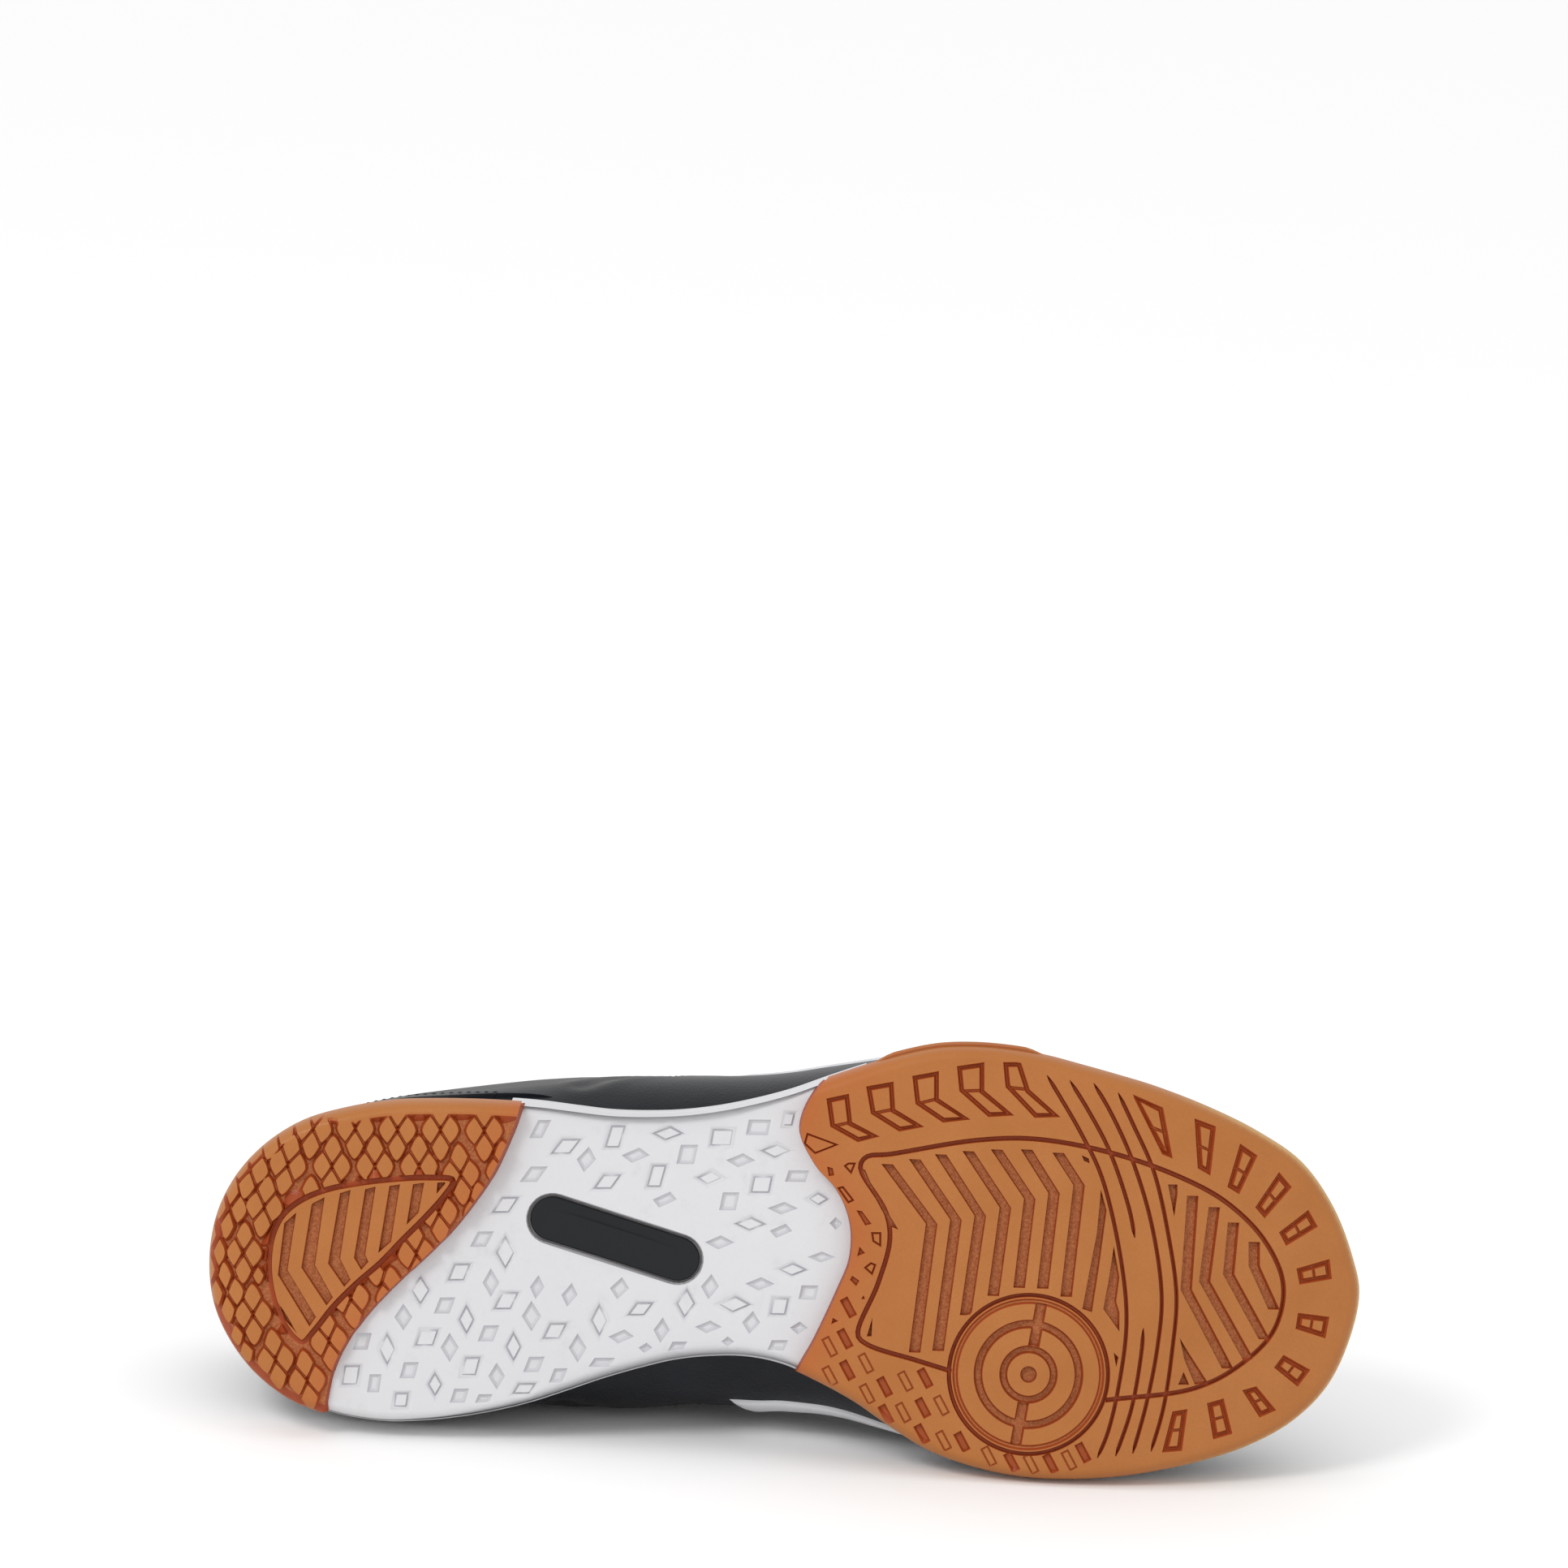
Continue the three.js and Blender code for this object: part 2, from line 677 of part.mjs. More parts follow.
// Point on rib i at share s of its length, from the sole (0) to the ridge (1).
function ribPoint(i, s) {
  const { foot, wide, centre, low, middle, t } = ribs[i];
  if (s < swellEnd) {
    const turn = s / swellEnd * Math.PI / 2;
    const across = Math.sin(turn);
    const up = 0.45 * (1 - Math.cos(turn)) + 0.55 * turn / (Math.PI / 2);
    return new THREE.Vector3(
      foot.x + (wide.x - foot.x) * across, foot.y + (wide.y - foot.y) * across, low + (middle - low) * up);
  }
  const turn = (s - swellEnd) / (1 - swellEnd) * Math.PI / 2;
  const across = 1 - Math.pow(Math.max(0, Math.cos(turn)), roundShare(t) * 0.88);
  const up = Math.pow(Math.sin(turn), 0.92);
  return new THREE.Vector3(
    wide.x + (centre.x - wide.x) * across,
    wide.y + (centre.y - wide.y) * across,
    middle + (centre.z - middle) * up);
}

function throatHalfAt(x) {
  const along = (x - throatTop) / (throatEnd - throatTop);
  if (along >= 1) return 0;
  const half = throatTopHalf + (throatEndHalf - throatTopHalf) * along;
  const roundStart = 1 - throatEndHalf / (throatEnd - throatTop);
  const tip = clamp((along - roundStart) / (1 - roundStart), 0, 1);
  return half * Math.sqrt(1 - tip * tip);
}

function solve(test) {
  let low = swellEnd;
  let high = 1;
  for (let step = 0; step < 40; step++) {
    const middle = (low + high) / 2;
    if (test(middle)) low = middle;
    else high = middle;
  }
  return low;
}

function eyeCornerHeight() {
  const i = ribs.findIndex((entry, k) => k < toeRib && entry.centre.x >= throatTop);
  const s = solve((value) => Math.abs(ribPoint(i, value).y - ribs[i].centre.y) > throatTopHalf);
  return ribPoint(i, s).z;
}

const cornerHeight = eyeCornerHeight();

function collarHeightAt(x) {
  const along = x / throatTop;
  const lowAlong = collarRows[collarRows.length - 1][0];
  if (along <= lowAlong) return ankleHeight + (heelHeight - ankleHeight) * collarClimb(along);
  const climb = clamp((along - lowAlong) / (1 - lowAlong), 0, 1);
  return ankleHeight + (cornerHeight - ankleHeight) * Math.pow(climb, collarCurve);
}

// Share of each rib where the upper stops: the collar, the throat or the ridge.
function ribEnd(i) {
  const { centre } = ribs[i];
  const x = soleOutline[i].x;
  if (x >= throatEnd) return 1;
  if (centre.x >= throatTop) {
    const half = throatHalfAt(centre.x);
    return solve((value) => Math.abs(ribPoint(i, value).y - centre.y) > half);
  }
  const height = collarHeightAt(x);
  return solve((value) => ribPoint(i, value).z < height);
}

const ribEnds = ribs.map((entry, i) => ribEnd(i));

function ridgeNormal(i) {
  const x = ribs[i].centre.x;
  const slope = (ridgeAt(x + 2) - ridgeAt(x - 2)) / 4;
  return new THREE.Vector3(-slope, 0, 1).normalize();
}

function surfaceNormal(i, s) {
  if (s > 0.999) return ridgeNormal(i);
  const before = (i + ribCount - 1) % ribCount;
  const after = (i + 1) % ribCount;
  const along = ribPoint(after, s).sub(ribPoint(before, s));
  const up = ribPoint(i, Math.min(1, s + 0.01)).sub(ribPoint(i, Math.max(0, s - 0.01)));
  return along.cross(up).normalize();
}

function offsetPoint(i, s, distance) {
  return ribPoint(i, s).addScaledVector(surfaceNormal(i, s), distance);
}

// A wall between an outer and an inner grid. The columns wrap when loop is true.
function wallMesh(outer, inner, loop, skipTop = () => false) {
  const columns = outer.length;
  const rows = outer[0].length;
  const positions = [];
  for (const grid of [outer, inner]) {
    for (const line of grid) for (const point of line) positions.push(point.x, point.y, point.z);
  }
  const triangles = [];
  const shift = columns * rows;
  const quad = (a, b, c, d) => triangles.push(a, b, c, a, c, d);
  const last = loop ? columns : columns - 1;
  for (let i = 0; i < last; i++) {
    const next = (i + 1) % columns;
    for (let j = 0; j + 1 < rows; j++) {
      const a = i * rows + j;
      const b = next * rows + j;
      quad(a, b, b + 1, a + 1);
      quad(shift + a, shift + a + 1, shift + b + 1, shift + b);
    }
    const a = i * rows;
    const b = next * rows;
    quad(a, shift + a, shift + b, b);
    if (!skipTop(i, next)) {
      const top = rows - 1;
      quad(a + top, b + top, shift + b + top, shift + a + top);
    }
  }
  if (!loop) {
    const end = (columns - 1) * rows;
    for (let j = 0; j + 1 < rows; j++) {
      quad(j, j + 1, shift + j + 1, shift + j);
      quad(end + j, shift + end + j, shift + end + j + 1, end + j + 1);
    }
  }
  return { positions, triangles };
}

// One solid from one wall, or from walls that share edges.
function weldWalls(...walls) {
  const positions = [];
  const triangles = [];
  for (const wall of walls) {
    const start = positions.length / 3;
    for (const value of wall.positions) positions.push(value);
    for (const corner of wall.triangles) triangles.push(start + corner);
  }
  return toManifold(meshGeometry(positions, triangles));
}

function wallSolid(outer, inner, loop, skipTop) {
  return weldWalls(wallMesh(outer, inner, loop, skipTop));
}

const upperRows = 7;

function padAt(i, s) {
  const x = soleOutline[i].x;
  const nearTop = smooth((s / ribEnds[i] - 0.62) / 0.25) * (1 - smooth((s / ribEnds[i] - 0.92) / 0.16));
  const nearHeel = 1 - smooth((x / throatTop - 0.72) / 0.22);
  return collarPad * nearTop * nearHeel;
}

function eyeletPlaces() {
  const list = [];
  const start = throatTop + eyeletMargin;
  const end = throatEnd - eyeletMargin - 2;
  for (let k = 0; k < eyeletPairs; k++) list.push(start + (end - start) * k / (eyeletPairs - 1));
  return list;
}

// Rib number, with a fraction, whose ridge point lies at x; side is 1 for medial.
function ribAtX(x, side) {
  let i = 0;
  while (i + 1 < toeRib && soleOutline[i + 1].x < x) i++;
  const part = (x - soleOutline[i].x) / (soleOutline[i + 1].x - soleOutline[i].x);
  return side > 0 ? ribCount - i - part : i + part;
}

function blendPoint(place, s, distance) {
  const low = Math.floor(place) % ribCount;
  const high = (low + 1) % ribCount;
  const part = place - Math.floor(place);
  return offsetPoint(low, s, distance).lerp(offsetPoint(high, s, distance), part);
}

function shareAtHalf(x, side, half) {
  const place = ribAtX(x, side);
  const centre = ridgeY(x);
  return solve((value) => Math.abs(blendPoint(place, value, 0).y - centre) > half);
}

function eyeletPoint(x, side, distance) {
  const half = throatHalfAt(x) + eyeletMargin;
  return blendPoint(ribAtX(x, side), shareAtHalf(x, side, half), distance);
}

function eyeletCutters() {
  const cutters = [];
  for (const x of eyeletPlaces()) {
    for (const side of [-1, 1]) {
      const outer = eyeletPoint(x, side, 4);
      const inner = eyeletPoint(x, side, -6);
      const peg = new THREE.CylinderGeometry(eyeletRadius, eyeletRadius, outer.distanceTo(inner), 8);
      const turn = new THREE.Quaternion().setFromUnitVectors(
        new THREE.Vector3(0, 1, 0), outer.clone().sub(inner).normalize());
      peg.applyQuaternion(turn);
      const middle = outer.clone().add(inner).multiplyScalar(0.5);
      peg.translate(middle.x, middle.y, middle.z);
      cutters.push(toManifold(peg));
    }
  }
  return union(cutters);
}

function upperShell() {
  const outer = [];
  const inner = [];
  for (let i = 0; i < ribCount; i++) {
    const outerLine = [];
    const innerLine = [];
    for (let j = 0; j < upperRows; j++) {
      const s = ribEnds[i] * j / (upperRows - 1);
      outerLine.push(ribPoint(i, s));
      const inside = offsetPoint(i, s, -upperWall - padAt(i, s));
      if (j === 0) inside.z = ribs[i].low;
      innerLine.push(inside);
    }
    outer.push(outerLine);
    inner.push(innerLine);
  }
  return wallSolid(outer, inner, true, (i, next) => ribEnds[i] === 1 && ribEnds[next] === 1);
}

// A panel that lies on the upper, between two shares of the ribs from first to last.
function panel(first, last, rows, lowShare, highShare) {
  const outer = [];
  const inner = [];
  for (let k = first; k <= last; k++) {
    const i = (k + ribCount) % ribCount;
    const outerLine = [];
    const innerLine = [];
    for (let j = 0; j <= rows; j++) {
      const s = lowShare(i) + (highShare(i) - lowShare(i)) * j / rows;
      innerLine.push(offsetPoint(i, s, panelGap));
      outerLine.push(offsetPoint(i, s, panelGap + panelThickness));
    }
    outer.push(outerLine);
    inner.push(innerLine);
  }
  return wallSolid(outer, inner, false);
}

function heelCounter() {
  const reach = soleOutline.findIndex((point) => point.x > counterFront) - 1;
  const fade = (i) => 1 - 0.75 * smooth(soleOutline[i].x / counterFront);
  return panel(-reach, reach, 4, () => counterLow, (i) => ribEnds[i] * (counterLow + counterHeight * fade(i)));
}

function eyestayLow(i) {
  const x = ribs[i].centre.x;
  const side = i > toeRib ? 1 : -1;
  const past = Math.max(0, x - throatEnd);
  const width = Math.sqrt(Math.max(0.5, eyestayWidth * eyestayWidth - past * past));
  return shareAtHalf(x, side, throatHalfAt(x) + width);
}

function eyestay() {
  const from = soleOutline.findIndex((point) => point.x >= throatTop);
  const to = soleOutline.findIndex((point) => point.x >= throatEnd + eyestayWidth) - 1;
  const rows = 2;
  const walls = [-1, 1].map((side) => {
    const lines = [];
    for (let i = from; i <= to; i++) lines.push(side < 0 ? i : ribCount - i);
    if (side > 0) lines.reverse();
    const grid = (lift) => lines.map((i) => {
      const low = eyestayLow(i);
      const line = [];
      for (let j = 0; j <= rows; j++) line.push(offsetPoint(i, low + (ribEnds[i] - low) * j / rows, lift));
      return line;
    });
    const closed = (k) => ribEnds[lines[k]] === 1;
    return wallMesh(grid(panelGap + panelThickness), grid(panelGap), false, (k, next) => closed(k) && closed(next));
  });
  return weldWalls(...walls);
}

// Plain side band with level edges and slanted ends.
function sideBand(side, low) {
  const count = 6;
  const grid = (lift) => {
    const lines = [];
    for (let k = 0; k <= count; k++) {
      const x = bandStart + (bandEnd - bandStart) * k / count;
      const line = [];
      for (let j = 0; j <= 2; j++) {
        const s = low - bandDip * k / count + bandShare * j / 2;
        line.push(blendPoint(ribAtX(x + bandSlant * j / 2, side), s, lift));
      }
      lines.push(line);
    }
    return side > 0 ? lines.reverse() : lines;
  };
  return wallSolid(grid(panelGap + panelThickness), grid(panelGap), false);
}

// Tongue: follows the ridge under the throat and rises above it.
function tongueFrame(k, count) {
  const end = throatEnd + tongueEnd;
  const along = k / count;
  const run = end - throatTop;
  const total = run + tongueRise;
  const x = end - along * total;
  const slope = (ridgeAt(throatTop) - ridgeAt(throatTop + tongueBend)) / tongueBend;
  if (x >= throatTop) return { x, y: ridgeY(x), z: ridgeAt(x), rise: 0 };
  return { x: throatTop, y: ridgeY(throatTop), z: ridgeAt(throatTop), rise: throatTop - x, slope };
}

function tonguePoint(frame, v, distance) {
  const side = v < 0 ? -1 : 1;
  const taper = 1 - tongueTaper * smooth(frame.rise / tongueRise + 0.35 * smooth((throatTop + tongueBend - frame.x) / tongueBend));
  const half = Math.abs(v) * (throatHalfAt(frame.x) + tongueSpread) * taper;
  const s = half < 0.01 ? 1 : shareAtHalf(frame.x, side, half);
  const point = blendPoint(ribAtX(frame.x, side), s, distance);
  if (frame.rise > 0) {
    const lift = new THREE.Vector3(-1, 0, frame.slope * 1.3).normalize();
    point.addScaledVector(lift, frame.rise * 1.15);
  }
  return point;
}

function tongueSolid() {
  const count = 11;
  const across = 6;
  const outer = [];
  const inner = [];
  const depth = upperWall + tongueClearance;
  for (let k = 0; k <= count; k++) {
    const frame = tongueFrame(k, count);
    const outerLine = [];
    const innerLine = [];
    for (let j = 0; j <= across; j++) {
      const v = -1 + 2 * j / across;
      const thin = 1 - 0.6 * Math.pow(Math.abs(v), 4);
      outerLine.push(tonguePoint(frame, v, -depth));
      innerLine.push(tonguePoint(frame, v, -depth - tongueThickness * thin));
    }
    outer.unshift(outerLine);
    inner.unshift(innerLine);
  }
  return wallSolid(outer, inner, false);
}

// Footbed on top of the midsole, inside the upper.
function insoleSolid() {
  const edge = insoleMargin + upperInset + upperWall;
  return stack([
    { inset: edge, height: (x) => soleTopAt(x) + gap },
    { inset: edge - insoleBulge, height: (x) => soleTopAt(x) + gap + insoleThickness * insoleBulgeHeight },
    { inset: edge, height: (x) => soleTopAt(x) + gap + insoleThickness },
  ]);
}

// Lace: one crossing between each two neighbouring pairs of eyelets, all joined.
function laceStrap(fromX, fromSide, toX) {
  const steps = 4;
  const outer = [];
  const inner = [];
  for (let k = 0; k <= steps; k++) {
    const part = k / steps;
    const x = fromX + (toX - fromX) * part;
    const start = throatHalfAt(fromX) + eyeletMargin - eyeletRadius * laceTuck;
    const end = throatHalfAt(toX) + eyeletMargin - eyeletRadius * laceTuck;
    const y = fromSide * (start * (1 - part) - end * part);
    const side = y < 0 ? -1 : 1;
    const over = fromSide > 0 ? laceOver : 0;
    const lift = panelGap + panelThickness + laceLift + over + laceArch * Math.sin(Math.PI * part);
    const outerLine = [];
    const innerLine = [];
    for (let j = 0; j <= 1; j++) {
      const px = x + (j - 0.5) * laceWidth;
      const half = Math.abs(y);
      const s = half < 0.01 ? 1 : shareAtHalf(px, side, half);
      outerLine.push(blendPoint(ribAtX(px, side), s, lift + laceThickness));
      innerLine.push(blendPoint(ribAtX(px, side), s, lift));
    }
    outer.push(outerLine);
    inner.push(innerLine);
  }
  if (fromSide > 0) return wallSolid(outer, inner, false);
  return wallSolid(outer.reverse(), inner.reverse(), false);
}

function laceSolid() {
  const eyelets = eyeletPlaces();
  const straps = [];
  for (let k = 0; k + 1 < eyelets.length; k++) {
    for (const side of [1, -1]) straps.push(laceStrap(eyelets[k], side, eyelets[k + 1]));
  }
  return union(straps);
}

// Inlay under the waist
function inlayOutline(grow) {
  const points = [];
  const radius = inlayWidth / 2 + grow;
  const reach = inlayLength / 2 - inlayWidth / 2;
  for (const end of [1, -1]) {
    for (let k = 0; k <= 8; k++) {
      const angle = -Math.PI / 2 + Math.PI * k / 8 + (end < 0 ? Math.PI : 0);
      const px = end * reach + radius * Math.cos(angle);
      const py = radius * Math.sin(angle);
      const x = inlayX + px * Math.cos(inlaySlant) - py * Math.sin(inlaySlant);
      const y = inlayY + px * Math.sin(inlaySlant) + py * Math.cos(inlaySlant);
      points.push(new THREE.Vector2(x, y));
    }
  }
  return points;
}

function waistLayer(from, to) {
  return stack([
    { inset: 1, height: (x) => waistAt(x) + from },
    { inset: 1, height: (x) => waistAt(x) + to },
  ]);
}

// Wing: the gum climbs over the upper's side at the lateral ball, with level ribs.
function wingSolid(grow) {
  const from = soleOutline.findIndex((point) => point.x > wingStart);
  const to = soleOutline.findIndex((point) => point.x > wingEnd);
  const outer = [];
  const inner = [];
  const levels = wingRibs * 2;
  for (let i = from; i <= to; i++) {
    const along = (soleOutline[i].x - wingStart) / (wingEnd - wingStart);
    const height = wingHeight * Math.sin(Math.PI * clamp(along, 0.06, 0.94));
    const outerLine = [];
    const innerLine = [];
    const base = gumTopAt(soleOutline[i].x) - wingRoot;
    for (let j = 0; j <= levels; j++) {
      const z = base + (height + wingRoot + grow) * j / levels;
      const lean = wingLean * Math.max(0, z - base - wingRoot);
      const out = soleOutline[i].clone().addScaledVector(soleNormals[i], wingProud - lean);
      const proud = j % 2 === 1 ? wingRibRise : 0;
      const face = out.clone().addScaledVector(soleNormals[i], proud + grow);
      const back = out.clone().addScaledVector(soleNormals[i], -wingThickness - grow);
      outerLine.push(new THREE.Vector3(face.x, face.y, z));
      innerLine.push(new THREE.Vector3(back.x, back.y, z));
    }
    outer.push(outerLine);
    inner.push(innerLine);
  }
  return wallSolid(outer, inner, false);
}

const slab = grooveSlab();
const foreZone = zoneBox(foreEdgeRow, true, 0);
const heelZone = zoneBox(heelEdgeRow, false, 0);
const cup = gumBody(0).subtract(gumCore(0));
const forefootGum = cup.intersect(foreZone).subtract(forefootGrooves().intersect(slab));
const heelGum = cup.intersect(heelZone).subtract(heelGrooves().intersect(slab));

const gumSpace = union([
  gumBody(gap).intersect(zoneBox(foreEdgeRow, true, -gap)),
  gumBody(gap).intersect(zoneBox(heelEdgeRow, false, gap)),
]).subtract(gumCore(gap));

const foam = stack([
  { inset: wallFlare + 1, height: waistAt },
  { inset: wallFlare * 0.6, height: (x) => waistAt(x) + 1 },
  { inset: 0.3, height: (x) => Math.max(waistAt(x) + 2, soleTopAt(x) - 1.2) },
  { inset: 0.8, height: soleTopAt },
]);
const recess = prism(inlayOutline(gap), farBelow, farAbove)
  .intersect(waistLayer(-5, inlayRecess + inlayThickness + gap));
const midsoleSolid = foam.subtract(gumSpace).subtract(recess).subtract(wingSolid(gap));
const inlaySolid = prism(inlayOutline(0), farBelow, farAbove)
  .intersect(waistLayer(inlayRecess, inlayRecess + inlayThickness));

const holes = eyeletCutters();

const finishes = {
  gum: { color: 0xc07f3f, roughness: 0.55, metalness: 0 },
  foam: { color: 0xebebee, roughness: 0.7, metalness: 0 },
  rubber: { color: 0x222428, roughness: 0.6, metalness: 0 },
  leather: { color: 0x24272b, roughness: 0.5, metalness: 0 },
  lining: { color: 0x2b2d31, roughness: 0.95, metalness: 0 },
  band: { color: 0xeeeeee, roughness: 0.45, metalness: 0 },
  lace: { color: 0x1c1d20, roughness: 0.9, metalness: 0 },
};

// Grams in each cubic millimetre
const densities = {
  gum: 0.0011, foam: 0.0002, rubber: 0.0011, leather: 0.0007, lining: 0.0002, band: 0.0009, lace: 0.0006,
};

const shoe = new THREE.Group();

function addPiece(name, solid, finish) {
  const material = new THREE.MeshStandardMaterial(finishes[finish]);
  const piece = new THREE.Mesh(fromManifold(solid), material);
  piece.name = name;
  piece.userData.finish = finish;
  shoe.add(piece);
}

addPiece('outsole_forefoot', forefootGum.add(wingSolid(0)), 'gum');
addPiece('outsole_heel', heelGum, 'gum');
addPiece('midsole', midsoleSolid, 'foam');
addPiece('shank_inlay', inlaySolid, 'rubber');
addPiece('insole', insoleSolid(), 'lining');
addPiece('upper', upperShell().subtract(holes), 'leather');
addPiece('tongue', tongueSolid(), 'leather');
addPiece('heel_counter', heelCounter(), 'leather');
addPiece('eyestay', eyestay().subtract(holes), 'leather');
addPiece('side_band_medial', sideBand(1, bandLowMedial), 'band');
addPiece('side_band_lateral', sideBand(-1, bandLowLateral), 'band');

addPiece('lace', laceSolid(), 'lace');

// The shoe lies on the face of its hull that the centre of mass stands over, medial side down.
function restingFace(pieces) {
  const corners = [];
  const middle = new THREE.Vector3();
  let mass = 0;
  for (const piece of pieces) {
    const place = piece.geometry.attributes.position;
    const index = piece.geometry.index;
    const density = densities[piece.userData.finish];
    for (let k = 0; k < place.count; k++) corners.push(new THREE.Vector3().fromBufferAttribute(place, k));
    for (let k = 0; k < index.count; k += 3) {
      const [a, b, c] = [0, 1, 2].map((n) => new THREE.Vector3().fromBufferAttribute(place, index.getX(k + n)));
      const share = density * a.dot(b.clone().cross(c)) / 6;
      mass += share;
      middle.addScaledVector(a.add(b).add(c).divideScalar(4), share);
    }
  }
  middle.divideScalar(mass);
  const hull = new ConvexHull().setFromPoints(corners);
  const down = new THREE.Vector3(0, 1, 0);
  let best = null;
  for (const face of hull.faces) {
    if (face.normal.dot(down) < 0.8) continue;
    const foot = middle.clone().addScaledVector(face.normal, face.constant - face.normal.dot(middle));
    const [a, b, c] = [face.edge, face.edge.next, face.edge.prev].map((edge) => edge.head().point);
    const inside = [[a, b], [b, c], [c, a]].every(([from, to]) => {
      const across = to.clone().sub(from).cross(foot.clone().sub(from));
      return across.dot(face.normal) > 0;
    });
    if (inside && (!best || face.normal.dot(down) > best.normal.dot(down))) best = face;
  }
  return best.normal.clone();
}

function layDown(group) {
  const down = restingFace(group.children);
  const heelToToe = new THREE.Vector3(1, 0, 0);
  const across = heelToToe.clone().addScaledVector(down, -heelToToe.dot(down)).normalize();
  const up = down.clone().negate();
  const back = up.clone().cross(across);
  const turn = new THREE.Matrix4().makeBasis(across, back, up).invert();
  group.quaternion.setFromRotationMatrix(turn);
  group.updateMatrixWorld(true);
  const box = new THREE.Box3();
  const corner = new THREE.Vector3();
  for (const piece of group.children) {
    const place = piece.geometry.attributes.position;
    for (let k = 0; k < place.count; k++) {
      box.expandByPoint(corner.fromBufferAttribute(place, k).applyMatrix4(piece.matrixWorld));
    }
  }
  const centre = box.getCenter(new THREE.Vector3());
  group.position.set(-centre.x, -centre.y, -box.min.z);
}

layDown(shoe);
shoe.updateMatrixWorld(true);

const lyingShoe = new THREE.Group();
lyingShoe.add(shoe);

export default lyingShoe;
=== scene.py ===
"""Looks of the indoor soccer shoe, a right shoe lying on its medial side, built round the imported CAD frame.

The shoe frame is the one of the CAD source: x from heel to toe, y to the medial side, z up from the
tread, in millimetres. Everything is shaped in it and then placed with the two tread mounts.
"""

import json
import math

import bpy
import numpy as np
from mathutils import Matrix, Vector
from mathutils.geometry import delaunay_2d_cdt


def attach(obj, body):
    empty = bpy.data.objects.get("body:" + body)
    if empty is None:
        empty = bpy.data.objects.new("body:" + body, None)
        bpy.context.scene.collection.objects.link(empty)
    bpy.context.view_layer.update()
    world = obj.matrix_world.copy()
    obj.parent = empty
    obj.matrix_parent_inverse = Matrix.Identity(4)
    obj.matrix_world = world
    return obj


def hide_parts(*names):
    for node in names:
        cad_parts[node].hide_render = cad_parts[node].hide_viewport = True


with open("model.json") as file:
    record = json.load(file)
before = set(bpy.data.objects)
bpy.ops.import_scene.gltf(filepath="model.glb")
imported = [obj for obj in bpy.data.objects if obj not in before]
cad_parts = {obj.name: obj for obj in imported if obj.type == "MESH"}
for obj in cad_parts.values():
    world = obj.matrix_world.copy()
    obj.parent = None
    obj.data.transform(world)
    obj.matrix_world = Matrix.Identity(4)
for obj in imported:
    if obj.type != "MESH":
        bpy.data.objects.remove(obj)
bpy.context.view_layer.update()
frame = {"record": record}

# Main sizes, as in the CAD source
LENGTH = 289
TREAD_LENGTH = 286
TREAD_SHIFT = 0.8
BALL = 106
INSTEP = 98
HEEL_TOP = 76
ANKLE = 57
COLLAR_CURVE = 1.7
TOE_SPRING = 14
SPRING_START = 206
HEEL_BEVEL = 3
HEEL_BEVEL_LENGTH = 13
ARCH = 8
HEEL_STACK = 22
GUM_HEEL_SIDE = 9
GUM_BALL_SIDE = 8
TOE_BUMPER = 5
WALL_RUN = 3.4
GROOVE_DEPTH = 1.5
UPPER_WALL = 2
COLLAR_PAD = 5
UPPER_INSET = 2.2
BULGE = 0.26
HEEL_CENTRE = 45
TOE_CENTRE = 235
FAN_PULL = 0.25
THROAT_TOP = 119
THROAT_END = 180
THROAT_TOP_HALF = 15
THROAT_END_HALF = 8
RIDGE_SHIFT = 3
SWELL_END = 0.3
SOLE_GAP = 0.3

PLAN = [  # along, sole lateral, sole medial, swell lateral, swell medial
    [0.000, -0.020, 0.020, -0.030, -0.030],
    [0.006, 0.100, 0.124, -0.032, -0.029],
    [0.017, 0.168, 0.187, -0.034, -0.026],
    [0.037, 0.240, 0.260, -0.036, -0.025],
    [0.072, 0.314, 0.336, -0.034, -0.034],
    [0.141, 0.371, 0.387, -0.022, -0.044],
    [0.211, 0.385, 0.378, -0.002, -0.026],
    [0.280, 0.382, 0.336, 0.028, 0.022],
    [0.349, 0.367, 0.267, 0.063, 0.100],
    [0.418, 0.378, 0.214, 0.060, 0.132],
    [0.488, 0.423, 0.211, 0.030, 0.136],
    [0.557, 0.494, 0.289, -0.005, 0.064],
    [0.626, 0.548, 0.403, -0.030, -0.012],
    [0.695, 0.547, 0.456, -0.030, -0.046],
    [0.765, 0.507, 0.461, -0.028, -0.048],
    [0.834, 0.454, 0.434, -0.026, -0.038],
    [0.903, 0.374, 0.378, -0.026, -0.030],
    [0.944, 0.302, 0.316, -0.024, -0.024],
    [0.972, 0.205, 0.240, -0.024, -0.024],
    [0.989, 0.105, 0.150, -0.024, -0.024],
    [1.000, -0.007, 0.007, -0.024, -0.024],
]
RISE = [  # along, sole top, ridge, roundness, arch
    [0.00, 1.00, 0.97, 1.15, 0.45],
    [0.13, 0.94, 0.97, 1.15, 0.45],
    [0.26, 0.86, 0.94, 1.10, 0.75],
    [0.35, 0.77, 0.97, 1.05, 1.00],
    [0.42, 0.69, 1.00, 1.00, 1.00],
    [0.49, 0.61, 0.91, 0.95, 0.80],
    [0.56, 0.55, 0.80, 0.95, 0.50],
    [0.63, 0.51, 0.69, 1.00, 0.45],
    [0.70, 0.50, 0.60, 1.05, 0.45],
    [0.77, 0.51, 0.545, 1.10, 0.45],
    [0.84, 0.58, 0.505, 1.15, 0.45],
    [0.92, 0.76, 0.475, 1.15, 0.45],
    [1.00, 1.04, 0.47, 1.15, 0.45],
]
COLLAR = [[0.00, 1.00], [0.08, 0.96], [0.25, 0.66], [0.42, 0.26], [0.58, 0.03], [0.68, 0.00]]


